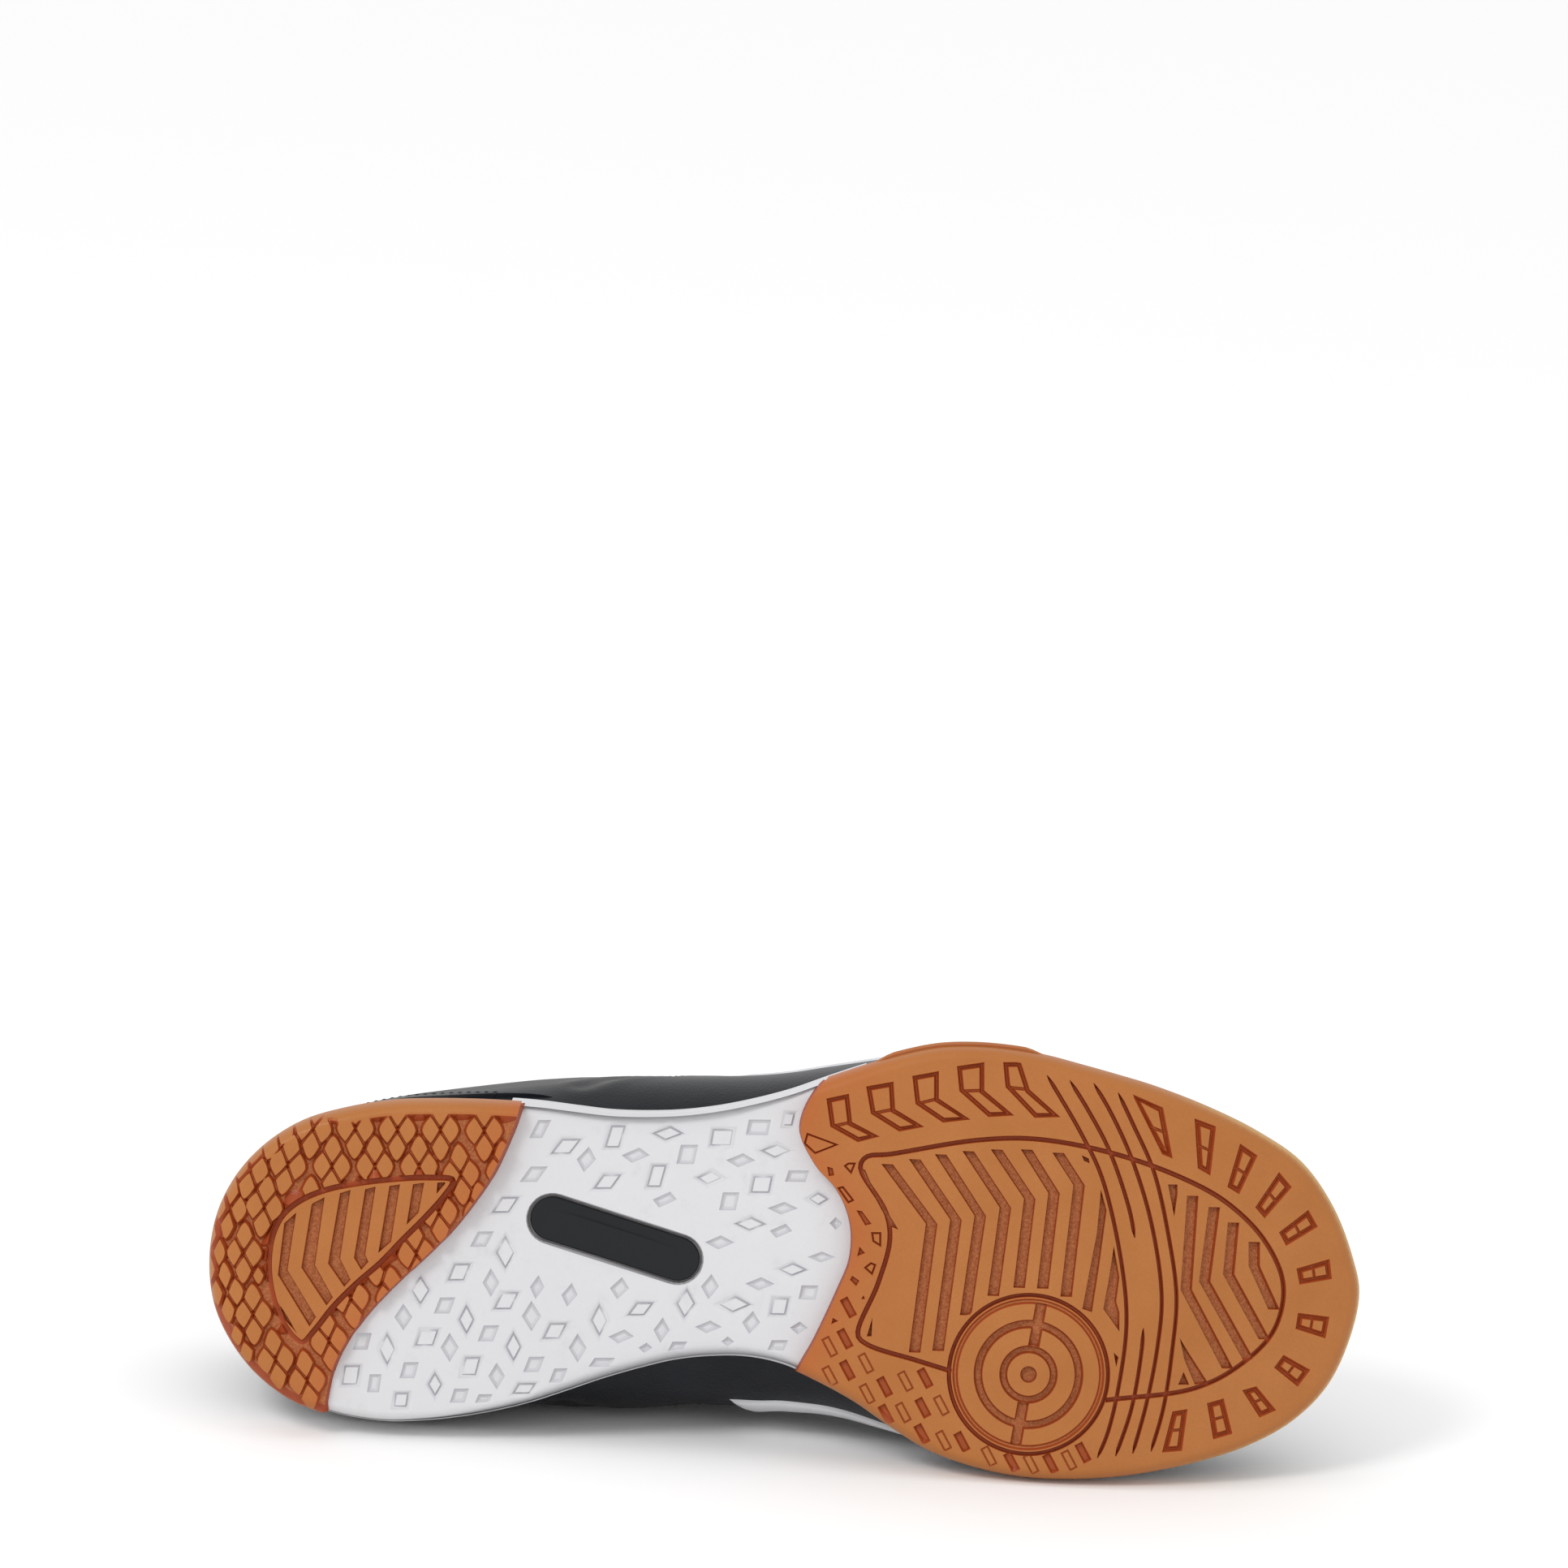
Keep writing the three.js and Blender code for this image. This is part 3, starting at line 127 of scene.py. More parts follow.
def smooth(value, low=0.0, high=1.0):
    """Smooth step from 0 at low to 1 at high."""
    t = np.clip((np.asarray(value, float) - low) / (high - low), 0, 1)
    return t * t * (3 - 2 * t)


PER_SPAN = 24


def spline(points, closed=False, per=PER_SPAN):
    """Points along a centripetal spline through the given ones, so many to each span."""
    p = np.asarray(points, float)
    n = len(p)
    spans = n if closed else n - 1
    t = np.arange(per) / per
    out = []
    for i in range(spans):
        p1, p2 = p[i], p[(i + 1) % n]
        p0 = p[i - 1] if closed or i > 0 else 2 * p1 - p2
        p3 = p[(i + 2) % n] if closed or i + 2 < n else 2 * p2 - p1
        d0, d1, d2 = (max(np.sum((b - a) ** 2) ** 0.25, 1e-4) for a, b in ((p0, p1), (p1, p2), (p2, p3)))
        m1 = ((p1 - p0) / d0 - (p2 - p0) / (d0 + d1) + (p2 - p1) / d1) * d1
        m2 = ((p2 - p1) / d1 - (p3 - p1) / (d1 + d2) + (p3 - p2) / d2) * d1
        c2 = -3 * p1 + 3 * p2 - 2 * m1 - m2
        c3 = 2 * p1 - 2 * p2 + m1 + m2
        out.append(p1 + t[:, None] * m1 + (t**2)[:, None] * c2 + (t**3)[:, None] * c3)
    if not closed:
        out.append(p[-1:])
    return np.concatenate(out)


def respace(points, step, closed=False):
    """The same line with even spacing of about that step."""
    p = np.asarray(points, float)
    if closed:
        p = np.vstack([p, p[:1]])
    run = np.concatenate([[0], np.cumsum(np.linalg.norm(np.diff(p, axis=0), axis=1))])
    count = max(2, int(round(run[-1] / step)))
    at = np.linspace(0, run[-1], count + 1)
    line = np.stack([np.interp(at, run, p[:, k]) for k in range(p.shape[1])], axis=1)
    return line[:-1] if closed else line


def reader(rows, index):
    """Smooth reading of one column of a table by the share along the shoe in its first column."""
    line = spline([[row[0], row[index]] for row in rows])
    return lambda x: np.interp(x, line[:, 0], line[:, 1])


swell_out, swell_in = (reader(PLAN, k) for k in (3, 4))
sole_top_share, ridge_share, round_share, arch_share = (reader(RISE, k) for k in range(1, 5))
collar_climb = reader(COLLAR, 1)


def spring_at(x):
    """Height of the tread's lowest face: toe spring and heel bevel."""
    toe = np.clip((np.asarray(x, float) - SPRING_START) / (LENGTH - SPRING_START), 0, 1)
    heel = np.clip((HEEL_BEVEL_LENGTH - np.asarray(x, float)) / HEEL_BEVEL_LENGTH, 0, 1)
    return TOE_SPRING * toe**1.9 + HEEL_BEVEL * heel**2


def sole_top_at(x):
    """Height of the foam's upper edge."""
    return HEEL_STACK * sole_top_share(np.asarray(x, float) / LENGTH)


def waist_at(x):
    """Height of the waist's land under the arch."""
    return spring_at(x) + ARCH * arch_share(np.asarray(x, float) / LENGTH)


def ridge_at(x):
    """Height of the upper's ridge."""
    return INSTEP * ridge_share(np.asarray(x, float) / LENGTH)


SIDE_BLEND = (0.3, 0.6)  # shares of the length, as for the bumper
BUMPER_BLEND = (0.86, 0.96)
FOAM_ABOVE_GUM = 2


def gum_top_at(x):
    """Height of the gum's upper edge on the sole's side."""
    t = np.asarray(x, float) / LENGTH
    side = GUM_HEEL_SIDE + (GUM_BALL_SIDE - GUM_HEEL_SIDE) * smooth(t, *SIDE_BLEND)
    side = side + TOE_BUMPER * smooth(t, *BUMPER_BLEND)
    return np.minimum(sole_top_at(x) - FOAM_ABOVE_GUM, spring_at(x) + side)


def plan_sides():
    """Readers of the sole's lateral and medial edge, from one closed line round the plan."""
    lateral = [[LENGTH * row[0], -BALL * row[1]] for row in PLAN]
    medial = [[LENGTH * row[0], BALL * row[2]] for row in PLAN]
    line = spline(lateral + medial[-2:0:-1], closed=True)
    turn = (len(PLAN) - 1) * PER_SPAN
    near, far = line[:turn + 1], np.vstack([line[turn:], line[:1]])[::-1]
    return (lambda x: np.interp(x, near[:, 0], near[:, 1])), (lambda x: np.interp(x, far[:, 0], far[:, 1]))


lateral_edge, medial_edge = plan_sides()


def coarse_outline():
    """Control points of the sole's outline, closer together at heel and toe."""
    ends, middle = 6, 21
    xs = [HEEL_CENTRE * (1 - math.cos(math.pi / 2 * i / ends)) for i in range(ends)]
    xs += [HEEL_CENTRE + (TOE_CENTRE - HEEL_CENTRE) * i / middle for i in range(middle)]
    toe = LENGTH - TOE_CENTRE
    xs += [LENGTH - toe * (1 - math.cos(math.pi / 2 * i / ends)) for i in range(ends, -1, -1)]
    lateral = [[x, float(lateral_edge(x))] for x in xs]
    medial = [[x, float(medial_edge(x))] for x in xs]
    return np.array(lateral + medial[-2:0:-1])


# Shoe frame in the row frame, from the two mounts on the tread
def shoe_matrix():
    """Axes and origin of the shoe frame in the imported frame."""
    mounts = {m["name"]: m for m in frame["record"]["mounts"]}
    ball = np.array(mounts["tread_ball"]["pos_m"])
    heel = np.array(mounts["tread_heel"]["pos_m"])
    up = -np.array(mounts["tread_heel"]["axis"])
    up /= np.linalg.norm(up)
    line = ball - heel
    line -= up * (line @ up)
    line /= np.linalg.norm(line)
    side = np.cross(up, line)
    turn = math.atan2(BALL_MOUNT[1] - HEEL_MOUNT[1], BALL_MOUNT[0] - HEEL_MOUNT[0])
    along = math.cos(turn) * line - math.sin(turn) * side
    across = math.sin(turn) * line + math.cos(turn) * side
    start = heel - 0.001 * (HEEL_MOUNT[0] * along + HEEL_MOUNT[1] * across)
    return np.stack([along, across, up], axis=1), start


BALL_MOUNT = (196.4, 22.6)
HEEL_MOUNT = (28.7, 0.8)
AXES, ORIGIN = shoe_matrix()


def placed(points):
    """Shoe frame in millimetres to row frame in metres."""
    return np.asarray(points, float) @ AXES.T * 0.001 + ORIGIN


SOLE_SHARP = 35


def piece(name, points, faces, material, slot, stands_for=(), sharp=60, values=None):
    """A mesh of the shoe from points in the shoe frame. values are one to each face or point."""
    mesh = bpy.data.meshes.new(name)
    mesh.from_pydata(placed(points).tolist(), [], [list(map(int, f)) for f in faces])
    mesh.shade_smooth()
    mesh.set_sharp_from_angle(angle=math.radians(sharp))
    for key, data in (values or {}).items():
        domain = "FACE" if len(data) == len(faces) else "POINT"
        attribute = mesh.attributes.new(key, "FLOAT", domain)
        attribute.data.foreach_set("value", np.asarray(data, np.float32))
    made = bpy.data.objects.new(name, mesh)
    bpy.context.scene.collection.objects.link(made)
    mesh.materials.append(material)
    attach(made, "root")
    for node in stands_for:
        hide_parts(node)
    return made


# Flat shapes in the plan of the sole
def inside(points, loop):
    """Which points lie in a closed loop."""
    x, y = points[:, 0], points[:, 1]
    hit = np.zeros(len(points), bool)
    ax, ay = loop[:, 0], loop[:, 1]
    bx, by = np.roll(ax, -1), np.roll(ay, -1)
    for k in range(len(loop)):
        if ay[k] == by[k]:
            continue
        cross = (ay[k] > y) != (by[k] > y)
        hit ^= cross & (x < (bx[k] - ax[k]) * (y - ay[k]) / (by[k] - ay[k]) + ax[k])
    return hit


def distance(points, line, closed=True):
    """Distance from each point to a line of segments."""
    a = line
    b = np.roll(line, -1, axis=0)
    if not closed:
        a, b = a[:-1], b[:-1]
    best = np.full(len(points), 1e9)
    for start, end in zip(a, b):
        arm = end - start
        size = max(arm @ arm, 1e-12)
        t = np.clip((points - start) @ arm / size, 0, 1)
        away = points - (start + t[:, None] * arm)
        best = np.minimum(best, np.einsum("ij,ij->i", away, away))
    return np.sqrt(best)


def normals_of(loop):
    """Outward normals of a loop that runs clockwise seen with y up, as the sole outline does."""
    along = np.roll(loop, -1, axis=0) - np.roll(loop, 1, axis=0)
    along /= np.linalg.norm(along, axis=1)[:, None]
    return np.stack([along[:, 1], -along[:, 0]], axis=1)


def signed_area(loop):
    """Area of a loop, negative where it runs clockwise."""
    x, y = loop[:, 0], loop[:, 1]
    return 0.5 * float(np.sum(x * np.roll(y, -1) - np.roll(x, -1) * y))


def shrink(loop, width):
    """The loop moved inwards by a width, or outwards where it is negative."""
    sign = 1 if signed_area(loop) > 0 else -1
    before = loop - np.roll(loop, 1, axis=0)
    after = np.roll(loop, -1, axis=0) - loop
    before /= np.maximum(np.linalg.norm(before, axis=1), 1e-9)[:, None]
    after /= np.maximum(np.linalg.norm(after, axis=1), 1e-9)[:, None]
    n1 = np.stack([-before[:, 1], before[:, 0]], axis=1) * sign
    n2 = np.stack([-after[:, 1], after[:, 0]], axis=1) * sign
    middle = n1 + n2
    size = np.maximum(np.einsum("ij,ij->i", middle, middle), 0.6)
    return loop + width * 2 * middle / size[:, None]


COARSE = coarse_outline()
OUTLINE = spline(COARSE, closed=True, per=6)
OUT_NORMAL = normals_of(OUTLINE)


def plan_inset(width):
    """The sole's outline moved inwards."""
    return OUTLINE - OUT_NORMAL * width


# Places on the tread, read off the photograph's 1932 by 1932 frame
PICTURE_SIZE = 1932
PICTURE_SCALE = 0.2020
PICTURE_TURN = math.radians(2.0)
PICTURE_START = (257, 1548)
PICTURE_SLANT = math.tan(math.radians(5))


def plan(*pairs):
    """Plan points from picture points, given as pairs of numbers."""
    p = np.asarray(pairs, float).reshape(-1, 2) - PICTURE_START
    c, s = math.cos(PICTURE_TURN), math.sin(PICTURE_TURN)
    x = TREAD_SHIFT + (p[:, 0] * c + p[:, 1] * s) * PICTURE_SCALE
    y = (-p[:, 0] * s + p[:, 1] * c) * PICTURE_SCALE
    return np.stack([x, y + spring_at(x) * PICTURE_SLANT], axis=1)


# Floor tones of the hollows: 0 is painted shade, dark red-brown for narrow grooves; BROWN is the wide floors'
# own colour.
SHADED_FLOOR, BROWN = 0.0, 1.0


def hollow(loops, depth=GROOVE_DEPTH, run=0.3, floor=BROWN):
    """A hollow in the tread, inside an odd number of the loops."""
    return {"loops": [np.asarray(loop, float) for loop in loops], "depth": depth, "run": run, "floor": floor}


STRIP_STEP = 1.2
STRIP_TIP = 0.15


def strip(line, width, taper=(0, 0)):
    """Loop round a line, so wide, thinner over the taper lengths at its ends."""
    p = respace(line, STRIP_STEP)
    run = np.concatenate([[0], np.cumsum(np.linalg.norm(np.diff(p, axis=0), axis=1))])
    along = np.gradient(p, axis=0)
    along /= np.linalg.norm(along, axis=1)[:, None]
    half = np.full(len(p), width / 2)
    for length, reach in zip(taper, (run, run[-1] - run)):
        if length:
            half *= STRIP_TIP + (1 - STRIP_TIP) * smooth(reach / length)
    side = np.stack([-along[:, 1], along[:, 0]], axis=1) * half[:, None]
    return np.vstack([p + side, (p - side)[::-1]])


def chevron(row, width):
    """Bent bar of one width along x through picture points."""
    line = plan(*row)
    shift = np.array([width / 2, 0])
    return np.vstack([line - shift, (line + shift)[::-1]])


def circle(centre, radius, step=0.9):
    """Points round a circle."""
    count = max(16, int(2 * math.pi * radius / step))
    t = 2 * math.pi * np.arange(count) / count
    return np.stack([centre[0] + radius * np.cos(t), centre[1] + radius * np.sin(t)], axis=1)


def box_outline(row, width):
    """Line of that width just inside a shape given in picture points."""
    outer = plan(*row)
    return [outer, shrink(outer, width)]


def bar(a, b, width):
    """Rectangle of that width from one point to another."""
    a, b = np.asarray(a), np.asarray(b)
    along = (b - a) / np.linalg.norm(b - a)
    side = np.array([-along[1], along[0]]) * width / 2
    return np.array([a - side, b - side, b + side, a + side])


def finer(loop, step):
    """The loop with extra points on its long sides; its corners stay."""
    out = []
    for a, b in zip(loop, np.roll(loop, -1, axis=0)):
        count = max(1, int(np.linalg.norm(b - a) / step))
        out.extend(a + (b - a) * k / count for k in range(count))
    return np.array(out)


def field_depth(points, features):
    """Depth and floor tone for each plan point."""
    depth = np.zeros(len(points))
    tone = np.zeros(len(points))
    for f in features:
        corners = np.vstack(f["loops"])
        low, high = corners.min(0), corners.max(0)
        near = np.flatnonzero(np.all((points > low) & (points < high), axis=1))
        if not len(near):
            continue
        p = points[near]
        within = np.zeros(len(near), bool)
        away = np.full(len(near), 1e9)
        for loop in f["loops"]:
            within ^= inside(p, loop)
            away = np.minimum(away, distance(p, loop))
        d = np.where(within, f["depth"] * np.clip(away / f["run"], 0, 1), 0)
        deeper = d > depth[near]
        depth[near] = np.where(deeper, d, depth[near])
        tone[near] = np.where(deeper, f["floor"], tone[near])
    return depth, tone


def triangulate(loops, grid, keep):
    """Triangles through the loops and the grid points, kept where keep(middles) holds."""
    points, edges = [], []
    for loop in loops:
        first = len(points)
        points.extend(map(tuple, loop))
        count = len(loop)
        edges.extend((first + k, first + (k + 1) % count) for k in range(count))
    points.extend(map(tuple, grid))
    result = delaunay_2d_cdt([Vector(p) for p in points], edges, [], 0, 1e-4)
    made = np.array([tuple(v) for v in result[0]])
    faces = np.array([f for f in result[2] if len(f) == 3])
    middles = made[faces].mean(axis=1)
    faces = faces[keep(middles)]
    used = np.unique(faces)
    place = np.full(len(made), -1)
    place[used] = np.arange(len(used))
    faces = place[faces]
    made = made[used]
    a, b, c = (made[faces[:, k]] for k in range(3))
    area = (b[:, 0] - a[:, 0]) * (c[:, 1] - a[:, 1]) - (b[:, 1] - a[:, 1]) * (c[:, 0] - a[:, 0])
    faces[area > 0] = faces[area > 0][:, ::-1]
    return made, faces[np.abs(area) > 1e-7]


def grid_points(spacing, loops, clear):
    """Even plan points over the sole that stay clear of the loops."""
    xs = np.arange(-2, LENGTH + 2, spacing)
    ys = np.arange(-PLAN_HALF, PLAN_HALF, spacing * 0.87)
    gx, gy = np.meshgrid(xs, ys)
    gx[1::2] += spacing / 2
    p = np.stack([gx.ravel(), gy.ravel()], axis=1)
    p = p[inside(p, plan_inset(0.4))]
    dense = np.vstack([finer(loop, clear) for loop in loops])
    cells = set(map(tuple, np.floor(dense / clear).astype(int)))
    spots = np.floor(p / clear).astype(int)
    free = np.array([
        not any((i + a, j + b) in cells for a in (-1, 0, 1) for b in (-1, 0, 1)) for i, j in spots
    ])
    return p[free]


def border(faces):
    """Edges with one face, each in the order that its face has."""
    seen = {}
    for f in faces:
        for a, b in ((f[0], f[1]), (f[1], f[2]), (f[2], f[0])):
            seen[(a, b)] = seen.get((a, b), 0) + 1
    return [(a, b) for (a, b) in seen if (b, a) not in seen]


RIM_RINGS = (0.0, 0.1, 0.35, 0.75, 1.3, 2.0, 2.8, 3.4)
RIM_POWER = 2.6
LOOP_STEP = 1.4
ZONE_STEP = 1.2
GRID_CLEARANCE = 0.45
PLAN_HALF = 62
STEEPEST = 6
EDGE_REACH = 5
TOE_RIM = (0.8, 0.93)  # shares of the length
TOE_RIM_WIDTH = (0.2, 1.3)
WALL_OUT = 1.6
WALL_UP = 0.5
GLOW_REACH = 6


def side_profile(q, height, run=WALL_RUN):
    """Rise of a rounded side at a distance q in from the widest edge."""
    t = np.clip(1 - q / run, 0, 1)
    return height * (1 - (1 - t**RIM_POWER) ** (1 / RIM_POWER))


def base_height(points, q, bottom, top):
    """Height of the sole's underside without its hollows."""
    return bottom(points[:, 0]) + side_profile(q, top(points[:, 0]) - bottom(points[:, 0]))


def upright(points, q_of, bottom, top, step=0.05):
    """Unit normals of the base surface, into the sole."""
    dx, dy = np.array([step, 0]), np.array([0, step])
    def h(p):
        return base_height(p, q_of(p), bottom, top)
    gx = (h(points + dx) - h(points - dx)) / (2 * step)
    gy = (h(points + dy) - h(points - dy)) / (2 * step)
    tilt = [-np.clip(g, -STEEPEST, STEEPEST) for g in (gx, gy)]
    n = np.stack(tilt + [np.ones(len(points))], axis=1)
    return n / np.linalg.norm(n, axis=1)[:, None]


def edge_distance(points):
    """Distance in from the sole outline."""
    away = np.full(len(points), 9.0)
    near = np.flatnonzero(~inside(points, plan_inset(EDGE_REACH)))
    away[near] = distance(points[near], OUTLINE)
    away[near] *= np.where(inside(points[near], OUTLINE), 1, 0)
    return away


def toe_rim(points, q):
    """How thin and clear the rubber is, along the toe's outer edge."""
    return smooth(points[:, 0], *(share * LENGTH for share in TOE_RIM)) * (1 - smooth(q, *TOE_RIM_WIDTH))


def feature_loops(features):
    """Edge and floor lines of the hollows."""
    loops = []
    for f in features:
        for k, loop in enumerate(f["loops"]):
            loop = finer(loop, LOOP_STEP)
            loops.append(loop)
            loops.append(shrink(loop, f["run"] if k == 0 else -f["run"]))
    return loops


def plate(loops, depth_at, zone, bottom, top, spacing, edge_run, edge_rise):
    """Underside of the sole in one zone: points, faces and face values."""
    rims = [plan_inset(q) for q in RIM_RINGS]
    lines = [finer(z, ZONE_STEP) for z in zone]
    grid = grid_points(spacing, loops + rims + lines, GRID_CLEARANCE)
    outline = plan_inset(-0.02)

    def keep(p):
        hit = inside(p, outline)
        for z in zone:
            hit &= inside(p, z)
        return hit

    flat, faces = triangulate(loops + rims + lines, grid, keep)
    q = edge_distance(flat)
    depth, tone = depth_at(flat, q)
    n = upright(flat, edge_distance, bottom, top)
    points = np.column_stack([flat, base_height(flat, q, bottom, top)]) + n * depth[:, None]
    rim = border(faces)
    ends = np.array(sorted({v for e in rim for v in e}))
    twin = {v: len(points) + k for k, v in enumerate(ends)}
    zone_line = np.minimum.reduce([distance(flat[ends], z) for z in zone])
    on_zone = (zone_line < 0.05) & (q[ends] > 0.3)
    nearest = np.argmin(((flat[ends][:, None] - OUTLINE[None]) ** 2).sum(-1), axis=1)
    middle = np.sign(LENGTH / 2 - flat[ends][:, :1]) * np.array([edge_run, 0])
    extra = points[ends].copy()
    extra[:, :2] += np.where(on_zone[:, None], middle, -OUT_NORMAL[nearest] * WALL_OUT)
    extra[:, 2] += WALL_UP
    extra[:, 2] = np.where(on_zone, np.maximum(extra[:, 2], waist_at(extra[:, 0]) + edge_rise), extra[:, 2])
    points = np.vstack([points, extra])
    # dark marks the walls along the zone edge; through wall and sunk it gives that edge wall painted shade in
    # the finishes.
    walls, dark = [], []
    zone_ends = set(ends[on_zone])
    for a, b in rim:
        walls.append((b, a, twin[a]))
        walls.append((b, twin[a], twin[b]))
        dark += [float(a in zone_ends and b in zone_ends)] * 2
    dark = np.array(dark)
    deep = depth[faces]
    full = max(float(depth.max()), 0.01)
    near_zone = np.exp(-np.minimum.reduce([distance(flat, z) for z in zone])[faces].mean(1) / GLOW_REACH)
    none, one = np.zeros(len(walls)), np.ones(len(walls))
    # wall carries painted shade of the groove walls into the finishes; sunk and tone choose between the wide
    # floors' own colour and painted shade in narrow ones.
    values = {
        "wall": np.concatenate([np.clip((deep.max(1) - deep.min(1)) / (0.25 * full), 0, 1), dark]),
        "sunk": np.concatenate([np.clip(deep.mean(1) / full, 0, 1), dark]),
        "tone": np.concatenate([tone[faces].mean(1), none]),
        "glow": np.concatenate([near_zone, none]),
        "side": np.concatenate([np.clip(1 - q[faces].mean(1) / WALL_RUN, 0, 1), one]),
        "rim": np.concatenate([toe_rim(flat[faces].mean(1), q[faces].mean(1)), none]),
    }
    return points, [tuple(f) for f in faces] + walls, values


# Forefoot tread
FORE_EDGE = [
    0.575, -0.62, 0.560, -0.505, 0.535, -0.470, 0.520, -0.423, 0.512, -0.369, 0.512, -0.330, 0.527, -0.256,
    0.544, -0.208, 0.554, -0.159, 0.559, -0.106, 0.558, -0.039, 0.549, 0.028, 0.529, 0.154, 0.518, 0.211,
    0.500, 0.330, 0.490, 0.620,
]
HEEL_EDGE = [
    0.268, -0.520, 0.267, -0.399, 0.262, -0.336, 0.254, -0.278, 0.243, -0.210, 0.226, -0.138, 0.210, -0.079,
    0.186, -0.010, 0.158, 0.065, 0.138, 0.128, 0.121, 0.193, 0.110, 0.260, 0.104, 0.347, 0.098, 0.480,
]
BACK_CHEVRONS = [  # top, elbow, bottom in picture points
    [1093, 1435, 1148, 1509, 1127, 1668],
    [1127, 1429, 1178, 1504, 1156, 1666],
    [1159, 1423, 1208, 1499, 1190, 1622],
    [1193, 1419, 1239, 1489, 1224, 1598],
    [1228, 1417, 1269, 1478, 1256, 1588],
    [1265, 1417, 1299, 1471, 1285, 1589],
    [1304, 1421, 1330, 1461, 1314, 1599],
]
TOE_CHEVRONS = [
    [1471, 1474, 1463, 1590, 1515, 1688],
    [1498, 1488, 1486, 1580, 1541, 1677],
    [1522, 1507, 1516, 1571, 1561, 1652],
    [1548, 1531, 1548, 1561, 1573, 1615],
]
EDGE_BOXES = [
    [1395, 1348, 1434, 1365, 1446, 1428, 1433, 1423],
    [1473, 1378, 1500, 1388, 1493, 1449, 1477, 1440],
    [1530, 1409, 1552, 1424, 1529, 1472, 1514, 1463],
    [1579, 1444, 1595, 1463, 1561, 1502, 1549, 1488],
    [1616, 1491, 1628, 1512, 1588, 1536, 1579, 1519],
    [1643, 1552, 1646, 1577, 1605, 1584, 1601, 1564],
    [1643, 1624, 1638, 1651, 1600, 1639, 1603, 1619],
    [1619, 1690, 1603, 1711, 1573, 1687, 1585, 1671],
    [1576, 1740, 1555, 1749, 1533, 1715, 1551, 1710],
    [1521, 1769, 1497, 1776, 1489, 1731, 1510, 1725],
    [1458, 1790, 1433, 1792, 1446, 1741, 1465, 1738],
]
BENT_BOXES = [
    [1018, 1354, 1046, 1348, 1050, 1383, 1084, 1401, 1057, 1408, 1023, 1389],
    [1067, 1339, 1101, 1333, 1103, 1367, 1139, 1389, 1108, 1395, 1073, 1373],
    [1124, 1326, 1157, 1320, 1157, 1354, 1196, 1380, 1162, 1384, 1128, 1361],
    [1179, 1314, 1213, 1309, 1213, 1344, 1250, 1375, 1218, 1377, 1182, 1345],
    [1236, 1309, 1258, 1309, 1269, 1343, 1307, 1377, 1275, 1378, 1239, 1340],
]
SMALL_SHAPES = [
    [1060, 1442, 1066, 1442, 1076, 1466, 1107, 1516, 1097, 1512],
    [1333, 1424, 1342, 1428, 1343, 1434, 1336, 1431],
    [1357, 1466, 1364, 1492, 1355, 1560, 1346, 1618, 1334, 1614, 1352, 1520],
    [1373, 1536, 1380, 1575, 1376, 1605, 1380, 1618, 1380, 1642, 1360, 1614, 1368, 1570],
    [1373, 1668, 1379, 1674, 1376, 1686],
    [1440, 1460, 1452, 1460, 1452, 1472, 1448, 1500],
    [1455, 1650, 1466, 1668, 1490, 1705, 1474, 1708, 1461, 1678],
    [1453, 1708, 1460, 1692, 1467, 1708],
    [1462, 1530, 1469, 1510, 1472, 1540, 1462, 1592],
    [1074, 1648, 1075, 1624, 1068, 1648],
]
EDGE_SHAPES = [  # filled ones near the edge towards the waist, in picture points
    [1055, 1492, 1062, 1493, 1074, 1509, 1066, 1511],
    [1059, 1537, 1066, 1545, 1056, 1549],
    [1050, 1573, 1059, 1579, 1055, 1586, 1047, 1578],
    [1064, 1597, 1066, 1602, 1061, 1602],
    [1026, 1625, 1033, 1629, 1024, 1633],
    [1019, 1438, 1026, 1440, 1028, 1449, 1021, 1450],
]
OPEN_SHAPES = [  # the same, but only their outline is sunk
    [1045, 1433, 1055, 1433, 1049, 1448, 1039, 1437],
    [1031, 1464, 1039, 1462, 1053, 1480, 1045, 1484],
    [1073, 1519, 1086, 1519, 1086, 1538, 1075, 1531],
    [1073, 1556, 1080, 1559, 1075, 1573, 1064, 1563],
    [994, 1396, 1034, 1411, 1004, 1423, 990, 1410],
]
SMALL_RECTS = [  # share along, share across, filled
    [0.543, 0.164, 0], [0.575, 0.200, 0], [0.610, 0.239, 0], [0.642, 0.293, 0], [0.577, 0.272, 0],
    [0.609, 0.313, 0], [0.544, 0.233, 0], [0.645, 0.376, 0], [0.685, 0.409, 0], [0.722, 0.424, 0],
    [0.755, 0.412, 0], [0.559, 0.218, 1], [0.592, 0.254, 1], [0.627, 0.230, 1], [0.626, 0.300, 1],
    [0.594, 0.319, 1], [0.626, 0.362, 1], [0.661, 0.377, 1], [0.705, 0.421, 1], [0.739, 0.421, 1],
    [0.767, 0.393, 1], [0.556, 0.144, 1], [0.558, 0.070, 1],
]
FIELD_LINE = [
    0.785, 0.268, 0.862, 0.236, 0.901, 0.181, 0.931, 0.096, 0.938, -0.012, 0.920, -0.116, 0.885, -0.205,
    0.841, -0.265, 0.779, -0.317, 0.715, -0.342, 0.664, -0.334, 0.589, -0.294, 0.569, -0.286, 0.564, -0.262,
    0.588, -0.156, 0.592, -0.091, 0.583, 0.012, 0.567, 0.134, 0.575, 0.155, 0.619, 0.189, 0.650, 0.212,
]
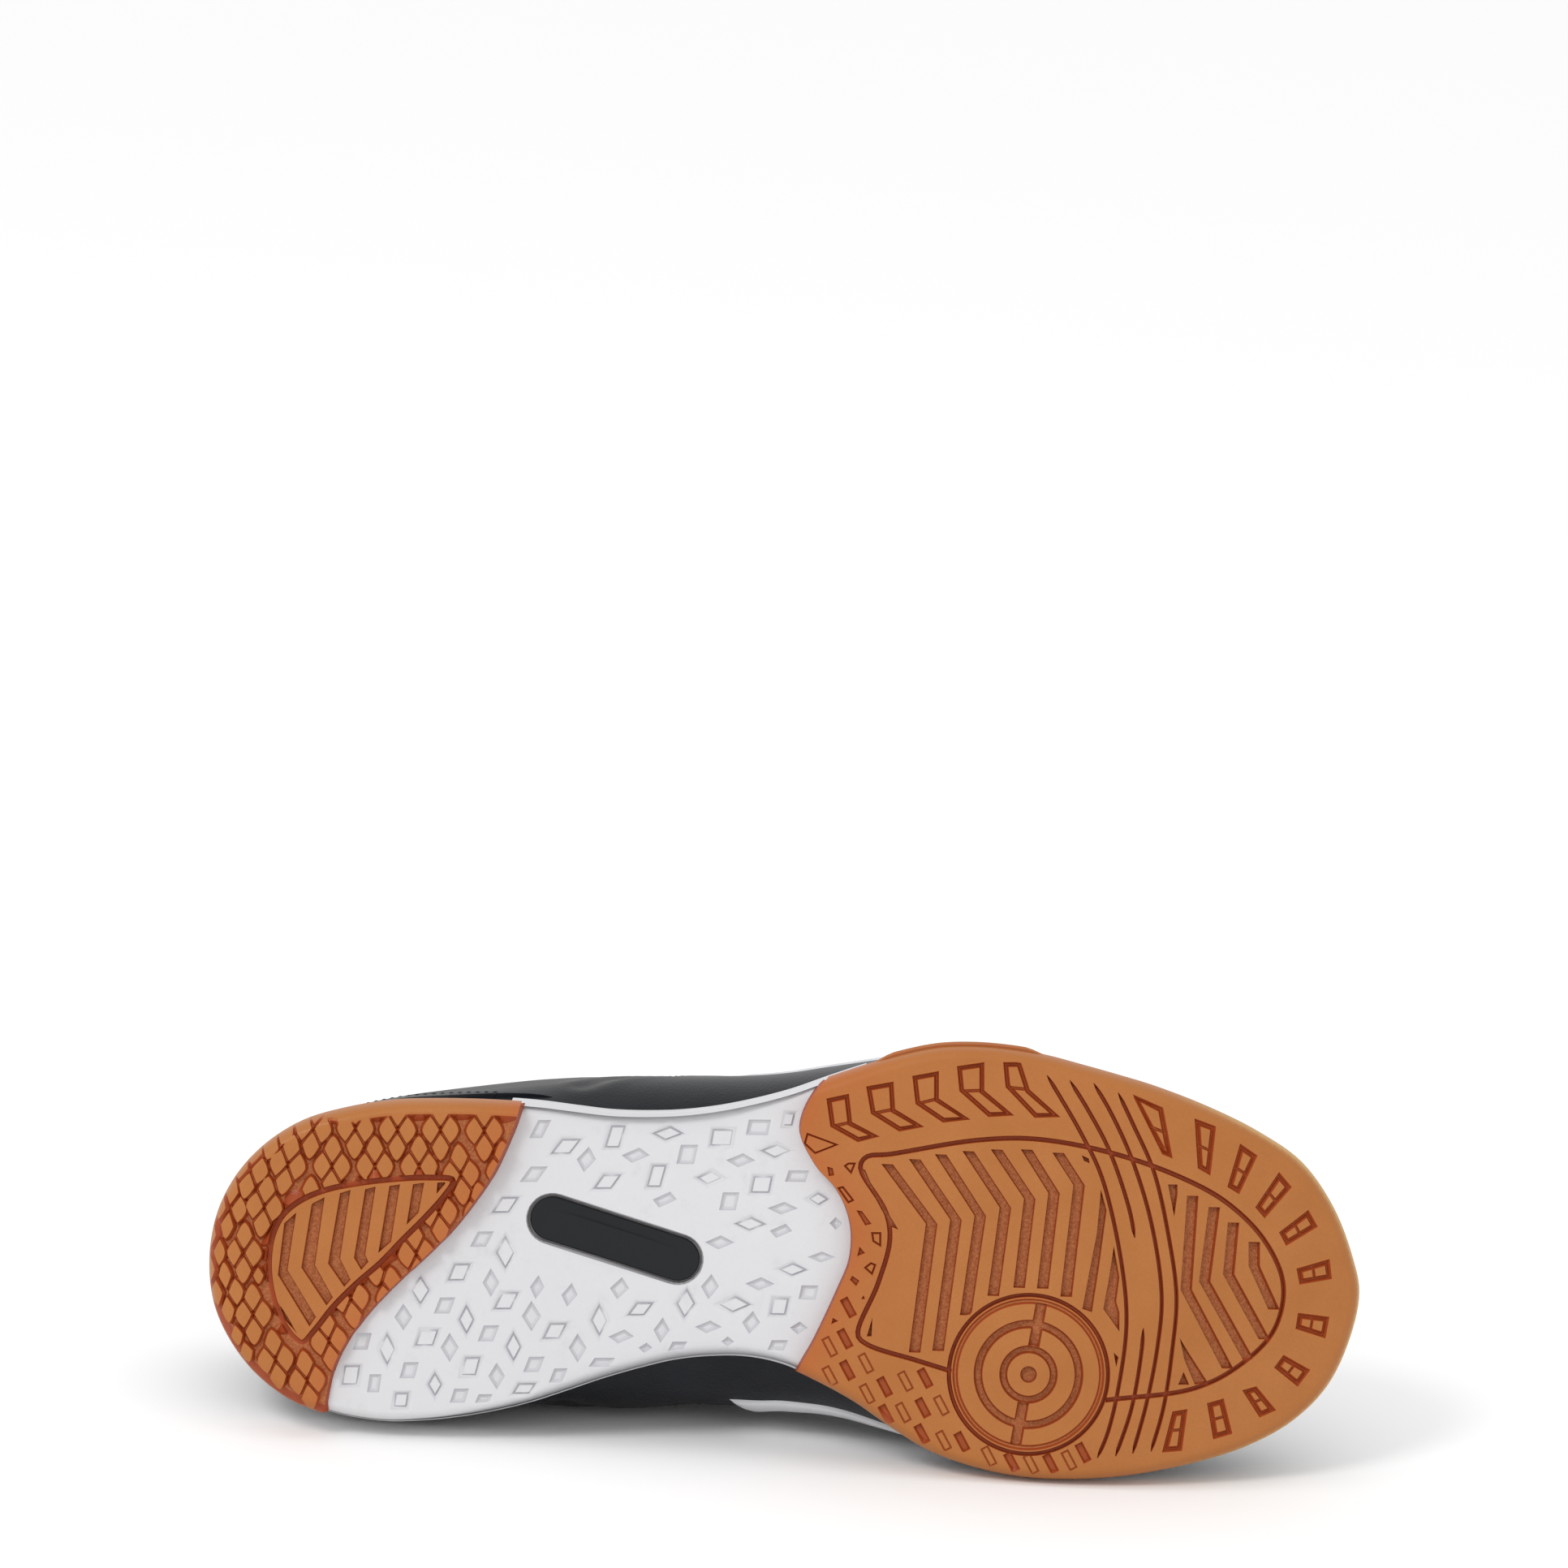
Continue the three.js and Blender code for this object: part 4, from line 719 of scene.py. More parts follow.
FLEX_LINES = [
    [0.722, -0.500, 0.734, -0.451, 0.756, -0.356, 0.775, -0.256, 0.795, -0.052, 0.801, 0.088, 0.796, 0.237,
     0.788, 0.345, 0.779, 0.410],
    [0.742, -0.490, 0.761, -0.413, 0.781, -0.318, 0.800, -0.182, 0.806, -0.111],
    [0.816, 0.087, 0.815, 0.153, 0.808, 0.287, 0.795, 0.405],
    [0.763, -0.485, 0.780, -0.413, 0.801, -0.299, 0.820, -0.148, 0.831, 0.020, 0.829, 0.137, 0.821, 0.274,
     0.810, 0.398],
    [0.785, -0.465, 0.801, -0.381, 0.820, -0.275, 0.835, -0.124, 0.844, 0.020, 0.842, 0.145, 0.836, 0.284,
     0.826, 0.392],
]
PIVOT = (TREAD_SHIFT + 0.717 * TREAD_LENGTH, 0.213 * BALL)
PIVOT_LEAN = 0.147
PIVOT_FIELD = 20.9
PIVOT_EDGE = (20.4, 19.3)
PIVOT_SHOULDER = (19.0, 17.6)
HUB = 2.1
PIVOT_RINGS = [[6.3, 2.0], [12.6, 2.2]]  # radius, width
PIVOT_BAR = [7.0, 18.0, 2.9]  # from, to, width
CHEVRON_WIDTH = 2.9
BOX_MIDDLE = 0.52
BOX_BAR = 0.8
BOX_LINE = 1.4
BENT_BAR = 0.9
BENT_LINE = 1.25
OPEN_LINE = 0.55
FLEX_WIDTH = 1.05
FLEX_TAPER = (4, 3)
FIELD_WIDTH = 1.25
RECT_REACH = (1.3, 2.262)
RECT_WIDTH = 2.2
RECT_LINE = 0.5
SHALLOW = 0.7
EDGE_FINISH = (1.0, 0.35)  # depth and run, as for those below
BOX_FINISH = (1.1, 0.6)
BENT_FINISH = (1.2, 0.5)
FILLED_FINISH = (1.1, 0.5)
OPEN_FINISH = (0.35, 0.2)
RING_RUN = 0.45


def shares(row):
    """Plan points from shares of the tread's length and the ball's width."""
    return np.asarray(row, float).reshape(-1, 2) * (TREAD_LENGTH, BALL) + (TREAD_SHIFT, 0)


def edge_line(row):
    """Smooth line across the sole through shares."""
    return spline(shares(row), per=8)


def cut_by_circle(loop, radius):
    """The loop with its points inside the pivot circle moved out to it."""
    arm = loop - PIVOT
    reach = np.linalg.norm(arm, axis=1)
    return np.where((reach < radius)[:, None], np.array(PIVOT) + arm * (radius / reach)[:, None], loop)


def groove(loops, depth=GROOVE_DEPTH, run=0.3):
    """A hollow whose floor is as dark as its walls, painted shade as in a narrow groove."""
    return hollow(loops, depth, run, SHADED_FLOOR)


def forefoot_features():
    """All hollows of the forefoot, in the order in which they cut."""
    made = [
        hollow([cut_by_circle(finer(chevron(row, CHEVRON_WIDTH), 1.0), PIVOT_FIELD)]) for row in BACK_CHEVRONS
    ]
    made += [hollow([chevron(row, CHEVRON_WIDTH)]) for row in TOE_CHEVRONS]
    made += [hollow([plan(*row)], run=0.25) for row in SMALL_SHAPES]
    made += [groove([plan(*row)], *EDGE_FINISH) for row in EDGE_SHAPES]
    made += [groove(box_outline(row, OPEN_LINE), SHALLOW, 0.25) for row in OPEN_SHAPES]
    for row in EDGE_BOXES:
        a, b, c, d = plan(*row)
        across = bar(a + (d - a) * BOX_MIDDLE, b + (c - b) * BOX_MIDDLE, BOX_BAR)
        made += [groove(box_outline(row, BOX_LINE), *BOX_FINISH), groove([across], SHALLOW)]
    for row in BENT_BOXES:
        corners = plan(*row)
        across = bar(corners[5], corners[2], BENT_BAR)
        made += [groove(box_outline(row, BENT_LINE), *BENT_FINISH), groove([across], SHALLOW, 0.35)]
    made += [groove([strip(edge_line(row), FLEX_WIDTH, FLEX_TAPER)]) for row in FLEX_LINES]
    made.append(groove([strip(edge_line(FIELD_LINE), FIELD_WIDTH)]))
    for centre_x, centre_y, filled in SMALL_RECTS:
        centre = shares([centre_x, centre_y])[0]
        shape = bar(centre - RECT_REACH, centre + RECT_REACH, RECT_WIDTH)
        inner = shrink(shape, RECT_LINE)
        made.append(groove([shape], *FILLED_FINISH) if filled else groove([shape, inner], *OPEN_FINISH))
    return made + pivot_features()


def pivot_features():
    """The turning circle: its edge, hub, rings and the bar across them."""
    made = [groove([circle(PIVOT, r) for r in PIVOT_EDGE]), hollow([circle(PIVOT, HUB)])]
    for radius, width in PIVOT_RINGS:
        edges = [circle(PIVOT, radius + way * width / 2) for way in (1, -1)]
        made.append(hollow(edges, run=RING_RUN))
    made.append(hollow([circle(PIVOT, r) for r in PIVOT_SHOULDER], depth=SHALLOW, run=0.5))
    first, last, width = PIVOT_BAR
    for side in (-1, 1):
        ends = [(PIVOT[0] - PIVOT_LEAN * side * at, PIVOT[1] + side * at) for at in (first, last)]
        made.append(hollow([bar(*ends, width)], run=RING_RUN))
    return made


# Heel tread: clusters of four lozenges round an X, in picture points, with their lean in degrees
CLUSTERS = [
    [437, 1391, 2], [489, 1393, 2], [542, 1393, 0], [596, 1394, 0], [385, 1391, 8], [353.5, 1436, 12],
    [408, 1438, 3], [461, 1438, 0], [515.5, 1438, 0], [567, 1448, -5], [621, 1444, -5], [324.5, 1488, 8],
    [540, 1495, -5], [593, 1495, -8], [299, 1545, 2], [512, 1546, -6], [277, 1594, -5], [485, 1600, -8],
    [458, 1548, -8], [431, 1601, -8], [310.5, 1621, -2], [404, 1654, -8], [338, 1677, -8], [377, 1703, -8],
    [338, 1393, 15], [307, 1441, 12], [281, 1490, 8], [256, 1544, 2], [381, 1488, 2],
]
SINGLES = [[317, 1573, -4, 0.62], [290, 1647, -12, 0.8], [302, 1668, -16, 0.8]]  # on their own, with a size
LEAF = [
    559, 1451, 527, 1448, 484, 1450, 441, 1455, 401, 1463, 369, 1476, 346, 1494, 333, 1517, 327, 1545,
    327, 1574, 333, 1605, 345, 1634, 360, 1654, 372, 1660, 389, 1643, 412, 1614, 441, 1585, 470, 1560,
    498, 1531, 527, 1502, 550, 1476, 561, 1459,
]
HEEL_BARS = [  # top left, top right, and on round each hollow
    [349, 1508, 364, 1495, 353, 1566, 388, 1624, 380, 1636, 341, 1572],
    [383, 1484, 399, 1476, 387, 1560, 409, 1600, 401, 1610, 370, 1563],
    [418, 1471, 431, 1467, 418, 1552, 431, 1578, 423, 1587, 403, 1558],
    [449, 1466, 462, 1463, 449, 1547, 453, 1556, 444, 1566, 435, 1551],
    [479, 1462, 492, 1460, 481, 1531, 465, 1545],
    [508, 1460, 522, 1458, 515, 1495, 500, 1510],
    [538, 1458, 550, 1457, 537, 1472],
    [340, 1604, 352, 1622, 365, 1645, 350, 1628],
]
LOZENGE_STEP = (12.2, 21.5)
LOZENGE_HALF = (2.02, 3.22)
LOZENGE_POINTS = 24
LOZENGE_POWER = (1.1, 0.26)  # fullness, and what the outer point has more
BACK_WIDTH = 0.68
LEAF_LINE = 1.5
LEAF_RUN = 0.3
LOZENGE_SLOPE = 0.62
LOZENGE_REACH = 5
BACK_BLEND = (1, 12)
PLAIN_EDGE = 0.6  # width without lozenges, and what the lateral side has more
PLAIN_LATERAL = 3.2
LATERAL_BLEND = (26, 34)
FLOOR_TONE = (0.62, 0.9)
FORE_FADE = (0.8, 2.2)


def lozenge(centre, outward, lean, size=1.0):
    """Diamond with full sides, pointed towards its cluster's middle, rounder outwards."""
    t = 2 * math.pi * np.arange(LOZENGE_POINTS) / LOZENGE_POINTS
    c, s = np.cos(t), np.sin(t)
    out = np.clip(c * outward[0] + s * outward[1], 0, 1)
    power = LOZENGE_POWER[0] + LOZENGE_POWER[1] * out
    radius = (np.abs(c) ** power + np.abs(s) ** power) ** (-1 / power)
    narrow = BACK_WIDTH + (1 - BACK_WIDTH) * float(smooth(centre[0], *BACK_BLEND))
    x, y = radius * c * LOZENGE_HALF[0] * size * narrow, radius * s * LOZENGE_HALF[1] * size
    cl, sl = math.cos(lean), math.sin(lean)
    return centre + np.stack([x * cl - y * sl, x * sl + y * cl], axis=1)


def heel_lozenges():
    """Loops of the heel's raised lozenges."""
    made = []
    for u, v, degrees in CLUSTERS:
        lean = math.radians(degrees)
        for side in ((1, 0), (-1, 0), (0, 1), (0, -1)):
            du, dv = side[0] * LOZENGE_STEP[0], side[1] * LOZENGE_STEP[1]
            pu = u + du * math.cos(lean) - dv * math.sin(lean)
            pv = v + du * math.sin(lean) + dv * math.cos(lean)
            made.append(lozenge(plan(pu, pv)[0], side, lean - PICTURE_TURN))
    for u, v, degrees, size in SINGLES:
        made.append(lozenge(plan(u, v)[0], (0, 1), math.radians(degrees), size))
    return made


def heel_tread():
    """Outlines for the heel's mesh and its reading of depth and tone."""
    leaf = respace(spline(plan(*LEAF), closed=True, per=6), 1.0, closed=True)
    inner = shrink(leaf, LEAF_LINE)
    lozenges = heel_lozenges()
    bars = [hollow([plan(*row)]) for row in HEEL_BARS]

    def depth_at(points, q):
        raised = np.full(len(points), 9.0)
        for shape in lozenges:
            near = np.flatnonzero(np.abs(points - shape.mean(0)).max(axis=1) < LOZENGE_REACH)
            if len(near):
                away = distance(points[near], shape)
                away[inside(points[near], shape)] = 0
                raised[near] = np.minimum(raised[near], away)
        ground = GROOVE_DEPTH * np.clip(raised / LOZENGE_SLOPE, 0, 1)
        lateral = smooth(points[:, 0], *LATERAL_BLEND) * (points[:, 1] < 0)
        start = PLAIN_EDGE + PLAIN_LATERAL * lateral
        ground *= smooth(q, start - 0.5, start + 0.5)
        in_leaf = inside(points, leaf)
        in_middle = inside(points, inner)
        ring = np.clip(np.minimum(distance(points, leaf), distance(points, inner)) / LEAF_RUN, 0, 1)
        bar_depth, _ = field_depth(points, bars)
        depth = np.where(in_leaf, np.where(in_middle, bar_depth, GROOVE_DEPTH * ring), ground)
        # Painted shade: the floor is dark on the slopes beside the lozenges and in the leaf's ring groove,
        # brown only on deep wide ground and inside the leaf.
        tone = smooth(ground / GROOVE_DEPTH, *FLOOR_TONE)
        tone = np.where(in_leaf, np.where(in_middle, BROWN, SHADED_FLOOR), tone)
        return depth, tone

    loops = [leaf, shrink(leaf, LEAF_RUN), inner, shrink(inner, -LEAF_RUN)]
    loops += feature_loops(bars)
    for shape in lozenges:
        if inside(shape.mean(0)[None], inner)[0]:
            continue
        loops += [shape, shrink(shape, -LOZENGE_SLOPE / 2), shrink(shape, -LOZENGE_SLOPE)]
    return loops, depth_at


# Underside of the sole
FAR = 90


def zone_loop(row, toe):
    """Closed loop of all that lies on the toe's or heel's side of an edge across the sole."""
    line = edge_line(row)
    far = LENGTH + FAR if toe else -FAR
    return np.vstack([line, [[far, line[-1, 1]], [far, line[0, 1]]]])


FORE_ZONE = zone_loop(FORE_EDGE, True)
HEEL_ZONE = zone_loop(HEEL_EDGE, False)
FORE_HOLLOWS = forefoot_features()


def fore_depth(points, q):
    """Depth and tone of the forefoot, fading out at the rounded edge."""
    depth, tone = field_depth(points, FORE_HOLLOWS)
    return depth * smooth(q, *FORE_FADE), tone


# Waist: lozenges boxed or pointed, crisp or soft, in picture points, and the bed of the inlay
WAIST_LOZENGES = [  # boxed, u, v, half width, half height, lean of the top, crisp
    [0, 516, 1593, 10.8, 16.8, 0, 1], [0, 475, 1666, 9.6, 18.4, 0, 1], [0, 573, 1630, 8.8, 16.8, 0, 1],
    [0, 631, 1664, 8.8, 16.8, 0, 1], [0, 737, 1632, 9.6, 18.4, 0, 1], [0, 621, 1547, 10.8, 19.2, 0, 1],
    [0, 603, 1584, 10.4, 18, 0, 0], [0, 552, 1664, 11.2, 18.4, 0, 0], [0, 495, 1626, 11.2, 16.8, 0, 0],
    [0, 610, 1700, 10.4, 16.8, 0, 0], [0, 653, 1626, 12, 19.2, 0, 0], [0, 710, 1666, 11.2, 18.4, 0, 0],
    [0, 721, 1432, 12, 16, 3.2, 0], [1, 757, 1404, 12, 12.8, 7.8, 1], [1, 808, 1453, 11.4, 12.8, 7.1, 1],
    [1, 846, 1426, 13.7, 12, 5.6, 0], [1, 889, 1405, 13.9, 9.6, 3.3, 1], [1, 898, 1484, 12.7, 11.2, 4.8, 0],
    [1, 938, 1463, 12.9, 9.6, 4, 1], [1, 934, 1392, 15.7, 9.6, 4, 0], [1, 972, 1382, 6.7, 7.2, 3.3, 1],
    [0, 844, 1611, 10.8, 16.8, 1.6, 1], [0, 874, 1590, 11.2, 16, 2, 0], [0, 814, 1644, 10, 16, 1.6, 0],
    [0, 925, 1634, 11.2, 14.4, 2.4, 0], [1, 960, 1614, 10.9, 9.6, 4, 1], [1, 996, 1596, 12.5, 8.8, 4, 0],
    [0, 534, 1710, 8, 13.6, 0, 1], [1, 459, 1708, 9.1, 11.2, 3.3, 0], [1, 492, 1729, 8.8, 8, 2.5, 1],
    [1, 578, 1688, 11.3, 10.4, 5.6, 1], [1, 524, 1652, 13.5, 9.2, 6.3, 1],
    [1, 430, 1698, 10.7, 11.2, 3.3, 1], [1, 502, 1692, 12.1, 10, 5.6, 0], [1, 564, 1571, 13.2, 9.6, 7.8, 1],
    [1, 622, 1607, 14.4, 9.6, 9.4, 1], [1, 600, 1647, 13.6, 10, 7.8, 0], [1, 656, 1686, 13.6, 9.6, 7.8, 0],
    [1, 682, 1645, 13.8, 8.8, 8.6, 1], [1, 546, 1612, 13.6, 10, 7.8, 0], [1, 592, 1530, 15, 9.6, 10.1, 0],
    [1, 621, 1488, 15.5, 8.8, 11.6, 1], [1, 656, 1450, 17.7, 9.6, 13.9, 0],
    [1, 664, 1394, 13.9, 11.2, 11.6, 0], [1, 747, 1460, 15.9, 8, 11.6, 1],
    [1, 696, 1416, 17.5, 8.4, 13.2, 1], [0, 782, 1427, 17.6, 9.6, 4.8, 0], [0, 822, 1400, 17.6, 8, 3.2, 1],
    [0, 874, 1455, 14.8, 8, 2.8, 1], [0, 956, 1421, 17.6, 8, 2, 1], [0, 912, 1433, 18.4, 8.8, 3.2, 0],
    [0, 964, 1492, 19.2, 8, 2.4, 0], [0, 924, 1512, 17.6, 7.6, 1.2, 1], [0, 886, 1535, 18.4, 8.8, 1.6, 0],
    [1, 788, 1618, 14.9, 7.2, 10.9, 1], [0, 764, 1652, 16, 8.8, 4, 0], [0, 904, 1612, 18.8, 9.2, 2, 1],
    [0, 872, 1640, 16.8, 8, 2.4, 0], [0, 936, 1586, 18.4, 8.4, 1.6, 0], [0, 976, 1568, 16.8, 7.2, 0.8, 1],
    [0, 1012, 1552, 17.6, 6.8, 0.8, 0], [0, 1008, 1480, 12, 7.2, 0, 1], [1, 982, 1452, 15.1, 7.2, 4.8, 0],
    [0, 1030, 1510, 8, 8, 0, 0], [0, 896, 1658, 8, 6.4, 0, 0], [1, 958, 1662, 12.9, 6.4, 5.6, 0],
    [0, 984, 1640, 11.2, 8, 1.6, 0], [1, 834, 1664, 12.1, 5.6, 5.6, 0], [0, 794, 1666, 8.8, 6.4, 1.6, 0],
    [1, 740, 1684, 16.8, 5.6, 7.8, 0], [1, 686, 1700, 11.8, 8.8, 7.1, 0], [1, 564, 1724, 12.1, 8.8, 5.6, 0],
    [1, 444, 1656, 12.1, 10.4, 5.6, 0], [1, 644, 1716, 13.4, 5.6, 7.1, 1],
    [1, 594, 1728, 11.1, 5.6, 4.8, 0], [0, 818, 1482, 15, 10, 7, 0], [0, 762, 1592, 12, 14, 3, 0],
    [0, 660, 1590, 9, 15, 2, 0], [0, 700, 1600, 10, 15, 3, 0], [0, 962, 1520, 14, 9, 6, 0],
]
INLAY = {"length": 44, "width": 11, "x": 101.5, "y": -7, "slant": 0.28}
CRISP_LINE = 0.7
CRISP_LINE_REACH = 0.3
CRISP_DISH = 0.4
CRISP_DISH_REACH = 1.4
CRISP_FLOOR = 0.12
CRISP_LOOPS = (0.3, -0.3, -0.8, -1.4)
SOFT_DISH = 0.85
SOFT_LOOPS = (0.4, 0.9)
BED_MARGIN = 1.0
BED_FLOOR_MARGIN = 0.3
BED_DEPTH = 2.2
BED_RUN = 0.7
LAND_MARGIN = 2.0


def capsule(grow):
    """Outline of the inlay's bar, grown by a margin."""
    radius = INLAY["width"] / 2 + grow
    reach = INLAY["length"] / 2 - INLAY["width"] / 2
    t = np.linspace(-math.pi / 2, math.pi / 2, 17)
    right = np.stack([reach + radius * np.cos(t), radius * np.sin(t)], axis=1)
    p = np.vstack([right, -right])
    c, s = math.cos(INLAY["slant"]), math.sin(INLAY["slant"])
    return np.stack([INLAY["x"] + p[:, 0] * c - p[:, 1] * s, INLAY["y"] + p[:, 0] * s + p[:, 1] * c], axis=1)


def waist_lozenges():
    """Each lozenge of the waist as plan points, with its crispness."""
    shapes = []
    for boxed, u, v, wide, high, lean, crisp in WAIST_LOZENGES:
        if boxed:
            top, foot = v - high, v + high
            corners = [u - wide + lean, top, u + wide, top, u + wide - lean, foot, u - wide, foot]
        else:
            corners = [u + lean, v - high, u + wide, v, u - lean, v + high, u - wide, v]
        shapes.append((plan(*corners), crisp))
    return shapes


# Upper
RIBS_PER = 5
RIB_EDGE = spline(COARSE, closed=True, per=RIBS_PER)
RIB_SIDE = normals_of(RIB_EDGE)
RIBS = len(RIB_EDGE)
TOE_RIB = RIBS // 2
ON_MEDIAL = np.arange(RIBS) > TOE_RIB
ROUNDNESS = 0.88


def rib_frame():
    """Lines and heights that every rib of the upper is drawn from."""
    x = np.clip(RIB_EDGE[:, 0], 0, LENGTH)
    t = x / LENGTH
    centre = np.where(x < HEEL_CENTRE, HEEL_CENTRE + (x - HEEL_CENTRE) * FAN_PULL, x)
    centre = np.where(x > TOE_CENTRE, TOE_CENTRE + (x - TOE_CENTRE) * FAN_PULL, centre)
    swell = BALL * np.where(ON_MEDIAL, swell_in(t), swell_out(t))
    foot = RIB_EDGE - RIB_SIDE * UPPER_INSET
    wide = RIB_EDGE + RIB_SIDE * swell[:, None]
    low = sole_top_at(x) + SOLE_GAP
    top = ridge_at(centre)
    return {
        "x": x, "t": t, "cx": centre, "cy": RIDGE_SHIFT * centre / LENGTH, "cz": top,
        "foot": foot, "wide": wide, "low": low, "middle": low + BULGE * (top - low),
        "round": round_share(t) * ROUNDNESS,
    }


RIB = rib_frame()


def rib_points(ribs, s):
    """Points on ribs, by their numbers, at shares of their length from the sole (0) to the ridge (1)."""
    ribs = np.asarray(ribs) % RIBS
    s = np.asarray(s, float)
    foot, wide = RIB["foot"][ribs], RIB["wide"][ribs]
    low, middle, top = RIB["low"][ribs], RIB["middle"][ribs], RIB["cz"][ribs]
    turn = np.clip(s / SWELL_END, 0, 1) * math.pi / 2
    across = np.sin(turn)[..., None]
    up = 0.45 * (1 - np.cos(turn)) + 0.55 * turn / (math.pi / 2)
    lower = np.concatenate([foot + (wide - foot) * across, (low + (middle - low) * up)[..., None]], axis=-1)
    turn = np.clip((s - SWELL_END) / (1 - SWELL_END), 0, 1) * math.pi / 2
    across = 1 - np.maximum(0, np.cos(turn)) ** RIB["round"][ribs]
    up = np.sin(turn) ** 0.92
    centre = np.stack([RIB["cx"][ribs], RIB["cy"][ribs]], axis=-1)
    upper = np.concatenate(
        [wide + (centre - wide) * across[..., None], (middle + (top - middle) * up)[..., None]], axis=-1)
    return np.where((s < SWELL_END)[..., None], lower, upper)


def throat_half_at(x):
    """Half width of the throat, rounded at its end."""
    along = (np.asarray(x, float) - THROAT_TOP) / (THROAT_END - THROAT_TOP)
    half = THROAT_TOP_HALF + (THROAT_END_HALF - THROAT_TOP_HALF) * along
    start = 1 - THROAT_END_HALF / (THROAT_END - THROAT_TOP)
    tip = np.clip((along - start) / (1 - start), 0, 1)
    return np.where(along >= 1, 0, half * np.sqrt(np.clip(1 - tip * tip, 0, 1)))


def greatest(shape, test, steps):
    """Greatest share where test(share) still holds, for an array of that shape."""
    low, high = np.full(shape, SWELL_END), np.ones(shape)
    for _ in range(steps):
        middle = (low + high) / 2
        good = test(middle)
        low, high = np.where(good, middle, low), np.where(good, high, middle)
    return low


RIB_STEPS = 36
HALF_STEPS = 26


def rib_ends():
    """Share at which each rib ends at the collar, the throat or the ridge."""
    ribs = np.arange(RIBS)
    first = next(k for k in range(TOE_RIB) if RIB["cx"][k] >= THROAT_TOP)
    corner = greatest(
        1, lambda s: np.abs(rib_points([first], s)[:, 1] - RIB["cy"][first]) > THROAT_TOP_HALF, RIB_STEPS)
    corner_height = float(rib_points([first], corner)[0, 2])
    along = RIB["x"] / THROAT_TOP
    low_along = COLLAR[-1][0]
    climb = np.clip((along - low_along) / (1 - low_along), 0, 1)
    height = np.where(
        along <= low_along,
        ANKLE + (HEEL_TOP - ANKLE) * collar_climb(along),
        ANKLE + (corner_height - ANKLE) * climb**COLLAR_CURVE)
    collar = greatest(RIBS, lambda s: rib_points(ribs, s)[:, 2] < height, RIB_STEPS)
    half = throat_half_at(RIB["cx"])
    throat = greatest(RIBS, lambda s: np.abs(rib_points(ribs, s)[:, 1] - RIB["cy"]) > half, RIB_STEPS)
    return np.where(RIB["x"] >= THROAT_END, 1, np.where(RIB["cx"] >= THROAT_TOP, throat, collar))


RIB_END = rib_ends()


def surface_normals(ribs, s):
    """Outward normals of the upper at ribs and shares."""
    ribs = np.asarray(ribs)
    along = rib_points(ribs + 1, s) - rib_points(ribs - 1, s)
    up = rib_points(ribs, np.minimum(1, s + 0.01)) - rib_points(ribs, np.maximum(0, s - 0.01))
    n = np.cross(along, up)
    n /= np.maximum(np.linalg.norm(n, axis=-1), 1e-9)[..., None]
    slope = (ridge_at(RIB["cx"][ribs % RIBS] + 2) - ridge_at(RIB["cx"][ribs % RIBS] - 2)) / 4
    ridge = np.stack([-slope, np.zeros_like(slope), np.ones_like(slope)], axis=-1)
    ridge /= np.linalg.norm(ridge, axis=-1)[..., None]
    return np.where((s > 0.999)[..., None], ridge, n)


def offset_points(ribs, s, lift):
    """Points on the upper moved along its normals."""
    s = np.broadcast_to(np.asarray(s, float), np.shape(ribs))
    return rib_points(ribs, s) + surface_normals(ribs, s) * np.asarray(lift, float)[..., None]


def grid_faces(columns, rows, loop, start=0, flip=False):
    """Quads of a grid of columns by rows."""
    faces = []
    for i in range(columns if loop else columns - 1):
        for j in range(rows - 1):
            a, b = i * rows + j, ((i + 1) % columns) * rows + j
            quad = (a, b, b + 1, a + 1)
            faces.append(tuple(start + v for v in (quad[::-1] if flip else quad)))
    return faces


def shell(outer, inner, loop, open_top=None):
    """Points and faces of a wall between two grids of columns by rows."""
    columns, rows = outer.shape[:2]
    points = np.vstack([outer.reshape(-1, 3), inner.reshape(-1, 3)])
    shift = columns * rows
    faces = grid_faces(columns, rows, loop) + grid_faces(columns, rows, loop, shift, True)
    for i in range(columns if loop else columns - 1):
        a, b = i * rows, ((i + 1) % columns) * rows
        faces.append((a, shift + a, shift + b, b))
        if open_top is None or not open_top(i):
            top = rows - 1
            faces.append((a + top, b + top, shift + b + top, shift + a + top))
    if not loop:
        end = (columns - 1) * rows
        for j in range(rows - 1):
            faces.append((j, j + 1, shift + j + 1, shift + j))
            faces.append((end + j, shift + end + j, shift + end + j + 1, end + j + 1))
    return points, faces


# Materials
def linear(red, green, blue):
    """Scene colour from the photograph's 0 to 255 values."""
    def channel(value):
        c = value / 255
        return c / 12.92 if c <= 0.04045 else ((c + 0.055) / 1.055) ** 2.4
    return (channel(red), channel(green), channel(blue), 1.0)


